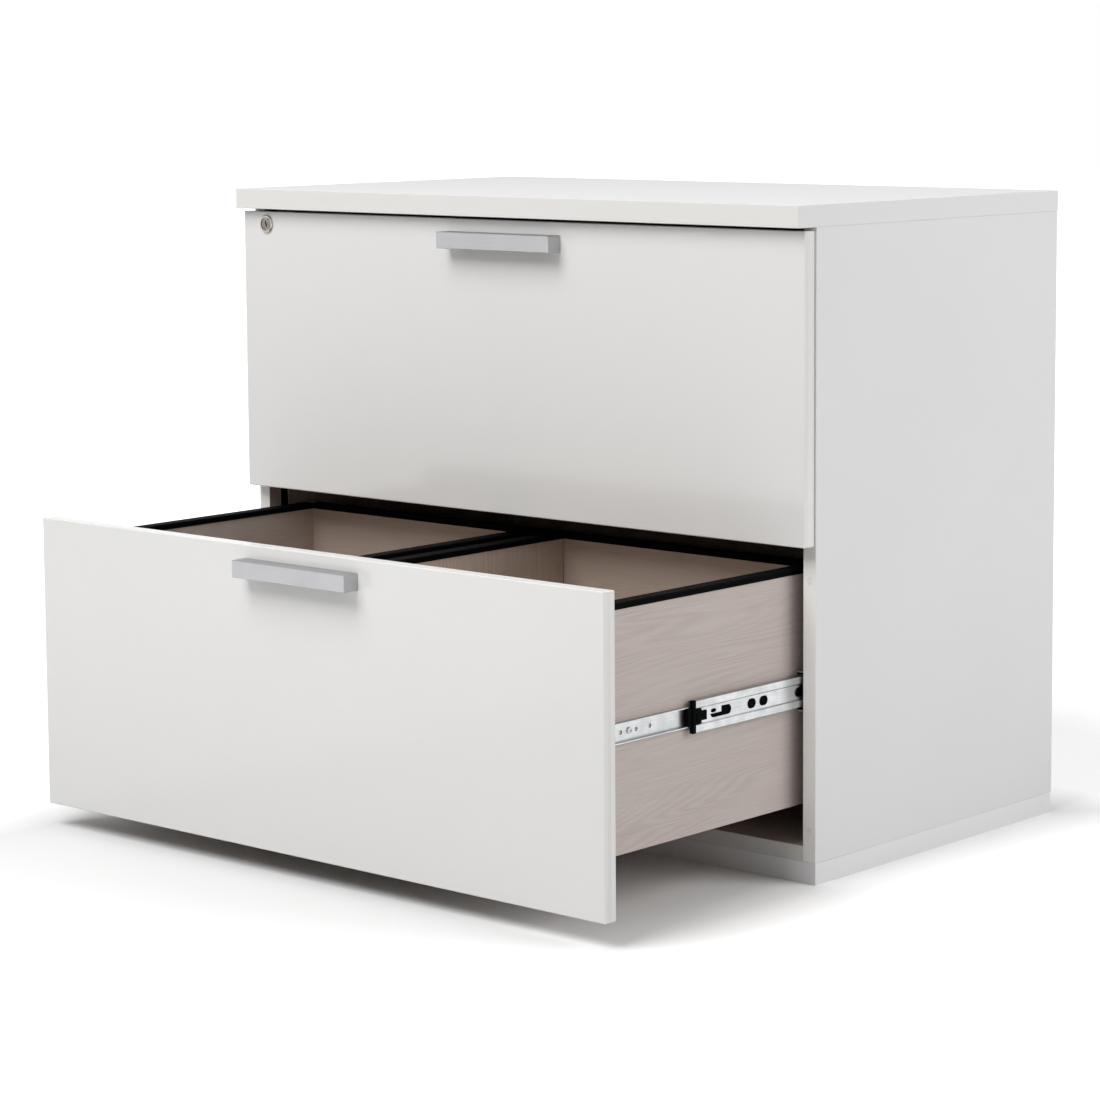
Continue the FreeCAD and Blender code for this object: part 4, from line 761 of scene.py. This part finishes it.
# %% [markdown]
# ## Screws
# The slides, the fronts and the handles are held by cross-recess screws. A screw is turned round
# its axis: a slightly domed head, its rim, the shank and a short point. The recess could be cut out
# with a boolean, but that leaves ragged faces, so it is pressed into the middle of the head: a
# point sinks where it is close to one of two crossed bars. Head, shank and place are read off the
# solid that each screw replaces.

# %% Screws
RECESS_ARM_SHARE = 0.62
RECESS_WIDTH_SHARE = 0.15
RECESS_SINK_SHARE = 0.55
RECESS_EDGE_SHARE = 0.08
CROWN_SHARE = 0.12
RIM_SHARE = 2 * CROWN_SHARE
TIP_SHARE = 0.85
POINT_SHARE = 0.1
HEAD_START_SHARE = 0.02
WIDE_SHARE = 0.99
RING_TOLERANCE = 0.3 * MM
HEAD_RINGS = 13
SCREW_SIDES = 40


def cross_recess(across, up):
    """How deep a point of the head is sunk, from 0 to 1: near the middle line of either bar, and
    short of its end, with a ramp that is half way down at the bar's edge."""
    near = np.minimum(np.abs(across), np.abs(up))
    far = np.maximum(np.abs(across), np.abs(up))
    beside = np.clip((RECESS_WIDTH_SHARE - near) / RECESS_EDGE_SHARE + 0.5, 0, 1)
    before = np.clip((RECESS_ARM_SHARE - far) / RECESS_EDGE_SHARE + 0.5, 0, 1)
    return beside * before


def screw(points):
    """Rings from the middle of the head to the point: the head's face, its rim and foot, the shank,
    the tip. The head is at the end where the widest points are, and the shank's radius is that of
    the other end."""
    low, high = points.min(axis=0), points.max(axis=0)
    axis = int(np.argmax(high - low))
    sides = [one for one in range(3) if one != axis]
    middle = (low + high) / 2
    reach = np.hypot(*(points - middle)[:, sides].T)
    head_radius = reach.max()
    wide = points[reach > head_radius * WIDE_SHARE, axis]
    head_first = abs(wide.mean() - low[axis]) < abs(wide.mean() - high[axis])
    top, tip = (low[axis], high[axis]) if head_first else (high[axis], low[axis])
    inward = np.sign(tip - top)
    length = abs(tip - top)
    shank_radius = reach[np.abs(points[:, axis] - tip) < RING_TOLERANCE].max()
    on_shank = np.abs(reach - shank_radius) < RING_TOLERANCE
    head_foot = np.abs(points[on_shank, axis] - top).min()
    rim = max(np.abs(wide - top).max(), head_foot * RIM_SHARE)

    turn = np.linspace(0, 2 * math.pi, SCREW_SIDES, endpoint=False)[None, :]
    share = np.linspace(HEAD_START_SHARE, 1, HEAD_RINGS)[:, None]
    recess = cross_recess(share * np.cos(turn), share * np.sin(turn))
    face_depth = head_foot * (CROWN_SHARE * share ** 2 + RECESS_SINK_SHARE * recess)
    below = np.array([(head_radius, rim), (shank_radius, head_foot),
                      (shank_radius, length - shank_radius * TIP_SHARE),
                      (shank_radius * POINT_SHARE, length)])
    radius = np.concatenate([head_radius * share + 0 * turn, below[:, :1] + 0 * turn])
    depth = np.concatenate([face_depth, below[:, 1:] + 0 * turn])
    rings = np.empty(radius.shape + (3,))
    rings[..., axis] = top + inward * depth
    rings[..., sides[0]] = middle[sides[0]] + radius * np.cos(turn)
    rings[..., sides[1]] = middle[sides[1]] + radius * np.sin(turn)
    return closed_tube(rings)


for node in [name for name in nodes if name.endswith("_screws")]:
    screws = [screw(points) for points in solids(node)]
    made = add_piece(node.replace("_screws", "_cross_screws"), screws, node)
    print(made.name, "has", len(screws), "screws and", len(made.data.polygons), "faces")

# %% [markdown]
# ## Floor
# The cabinet stands on a seamless sweep of white paper. The white of the background comes from the
# paper itself and not from more light on the cabinet: to the camera, and in reflections, the paper
# is paler than the light that it throws back, and it adds a little light of its own far from the
# cabinet and close beside and behind it. The near floor in front keeps the soft shadow under the
# drawer.

# %% Floor
FLOOR_SIZE = 40.0
PAPER_BOUNCE, PAPER_SEEN = "#d2d2d2", "#f5f5f5"
FAR_LIFT, FAR_START, FAR_END = 0.7, 0.7, 2.6
CLEAR_LIFT, CLEAR_REACH = 0.35, 0.12


def seen(tree):
    """A share that is 1 for rays from the camera, a reflection or a transmission, and 0 for light
    on the object."""
    path = add(tree, "ShaderNodeLightPath").outputs
    eye = add(tree, "ShaderNodeMath", {0: path["Is Camera Ray"], 1: path["Is Glossy Ray"]},
              operation="ADD")
    return add(tree, "ShaderNodeMath", {0: eye, 1: path["Is Transmission Ray"]}, operation="ADD",
               use_clamp=True)


def floor_finish():
    """White paper, lifted to the eye by a glow that grows with the distance from the origin, and by
    one that grows with the distance from the planes of the cabinet's sides and back."""
    made, tree, place = start("white_paper_sweep")
    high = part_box("top_panel")[1]
    eye = seen(tree)
    colour = add(tree, "ShaderNodeMix", {"Factor": eye, "A": PAPER_BOUNCE, "B": PAPER_SEEN},
                 data_type="RGBA")
    paper = add(tree, "ShaderNodeBsdfDiffuse", {"Color": colour})
    reach = add(tree, "ShaderNodeVectorMath", {0: place}, operation="LENGTH").outputs["Value"]
    far = add(tree, "ShaderNodeMapRange", {"Value": reach, "From Min": FAR_START,
                                           "From Max": FAR_END, "To Max": FAR_LIFT})
    spot = add(tree, "ShaderNodeSeparateXYZ", {0: place})
    across = add(tree, "ShaderNodeMath", {0: spot.outputs[0]}, operation="ABSOLUTE")
    beside = add(tree, "ShaderNodeMath", {0: across, 1: high.x}, operation="SUBTRACT")
    behind = add(tree, "ShaderNodeMath", {0: spot.outputs[1], 1: high.y}, operation="SUBTRACT")
    clear = add(tree, "ShaderNodeMath", {0: beside, 1: behind}, operation="MAXIMUM")
    close = add(tree, "ShaderNodeMapRange",
                {"Value": clear, "From Max": CLEAR_REACH, "To Max": CLEAR_LIFT})
    both = add(tree, "ShaderNodeMath", {0: far, 1: close}, operation="ADD")
    lift = add(tree, "ShaderNodeMath", {0: eye, 1: both}, operation="MULTIPLY")
    glow = add(tree, "ShaderNodeEmission", {"Color": "#ffffff", "Strength": lift})
    sweep = add(tree, "ShaderNodeAddShader", {0: paper, 1: glow})
    add(tree, "ShaderNodeOutputMaterial", {"Surface": sweep})
    return made


half_floor = FLOOR_SIZE / 2
floor_mesh = bpy.data.meshes.new("floor")
floor_corners = [(-half_floor, -half_floor, 0), (half_floor, -half_floor, 0),
                 (half_floor, half_floor, 0), (-half_floor, half_floor, 0)]
floor_mesh.from_pydata(floor_corners, [], [(0, 1, 2, 3)])
floor_mesh.materials.append(floor_finish())
floor = bpy.data.objects.new("floor", floor_mesh)
bpy.context.scene.collection.objects.link(floor)
print("floor", FLOOR_SIZE, "m across")

# %% [markdown]
# ## Tent
# Light comes softly from everywhere above, as in a bright tent: faint at the horizon and stronger
# overhead. A picture of a studio could give that light, but a gradient by height is enough and is
# easy to change. To the camera, and in reflections, the tent is plain white.

# %% Tent
TENT_FOOT, TENT_RISE = 0.08, 0.45
tent = bpy.data.worlds.new("white_tent")
bpy.context.scene.world = tent
tent.use_nodes = True
tree = tent.node_tree
tree.nodes.clear()
aim = add(tree, "ShaderNodeTexCoord").outputs["Generated"]
height = add(tree, "ShaderNodeSeparateXYZ", {0: aim}).outputs[2]
cloth = add(tree, "ShaderNodeMath", {0: height, 1: TENT_RISE, 2: TENT_FOOT},
            operation="MULTIPLY_ADD")
level = add(tree, "ShaderNodeMix", {"Factor": seen(tree), "A": cloth, "B": 1.0})
sky = add(tree, "ShaderNodeBackground", {"Color": "#ffffff", "Strength": level})
add(tree, "ShaderNodeOutputWorld", {"Surface": sky})
print("tent level", TENT_FOOT, "to", TENT_FOOT + TENT_RISE)

# %% [markdown]
# ## Lamps
# Two lamps give the tent a direction: one high in front, which draws the soft shadows under the
# handles, and a weaker one from the right and behind, which lights the right side but can't shine
# into the open drawer. A small lamp would draw hard shadows, so both are broad.

# %% Lamps
# name, place in metres, size in metres, watts
LAMPS = (
    ("overhead_softbox", (-0.3, -2.65, 3.3), 2.4, 104.0),
    ("right_softbox", (3.8, 1.2, 2.2), 2.4, 87.0),
)
AIM = Vector((0.0, -0.2, 0.4))
for name, spot, size, watts in LAMPS:
    lamp = bpy.data.lights.new(name, "AREA")
    lamp.size = size
    lamp.energy = watts
    holder = bpy.data.objects.new(name, lamp)
    holder.location = spot
    holder.visible_glossy = False
    holder.rotation_euler = (AIM - Vector(spot)).to_track_quat("-Z", "Y").to_euler()
    bpy.context.scene.collection.objects.link(holder)
    print(name, round((AIM - Vector(spot)).length, 2), "m away,", watts, "W")

# %% [markdown]
# ## Camera
# The camera could be placed by eye, but the view was worked out from the corners of the cabinet: a
# long lens from the right, a little above the top. The camera's three axes follow from its turn
# about the cabinet, its height above the horizon and a slight roll.

# %% Camera
CAMERA_PLACE = Vector((2.65437, -3.14047, 0.92393))
TURN, RISE, ROLL = (math.radians(angle) for angle in (41.01, 6.72, -0.31))
LENS = 108.02
SENSOR = 36.0
SHIFT = (-0.0455, -0.0909)

back = Vector((math.sin(TURN) * math.cos(RISE), -math.cos(TURN) * math.cos(RISE), math.sin(RISE)))
right = Vector((math.cos(TURN), math.sin(TURN), 0))
up = back.cross(right)
rolled_right = right * math.cos(ROLL) + up * math.sin(ROLL)
rolled_up = up * math.cos(ROLL) - right * math.sin(ROLL)
axes = Matrix((rolled_right, rolled_up, back)).transposed()
lens = bpy.data.cameras.new("camera")
lens.lens = LENS
lens.sensor_width = SENSOR
lens.shift_x, lens.shift_y = SHIFT
camera = bpy.data.objects.new("camera", lens)
camera.matrix_world = Matrix.Translation(CAMERA_PLACE) @ axes.to_4x4()
bpy.context.scene.collection.objects.link(camera)
bpy.context.scene.camera = camera
bpy.context.scene.view_settings.view_transform = "Standard"
print("camera", round((CAMERA_PLACE - AIM).length, 2), "m away")
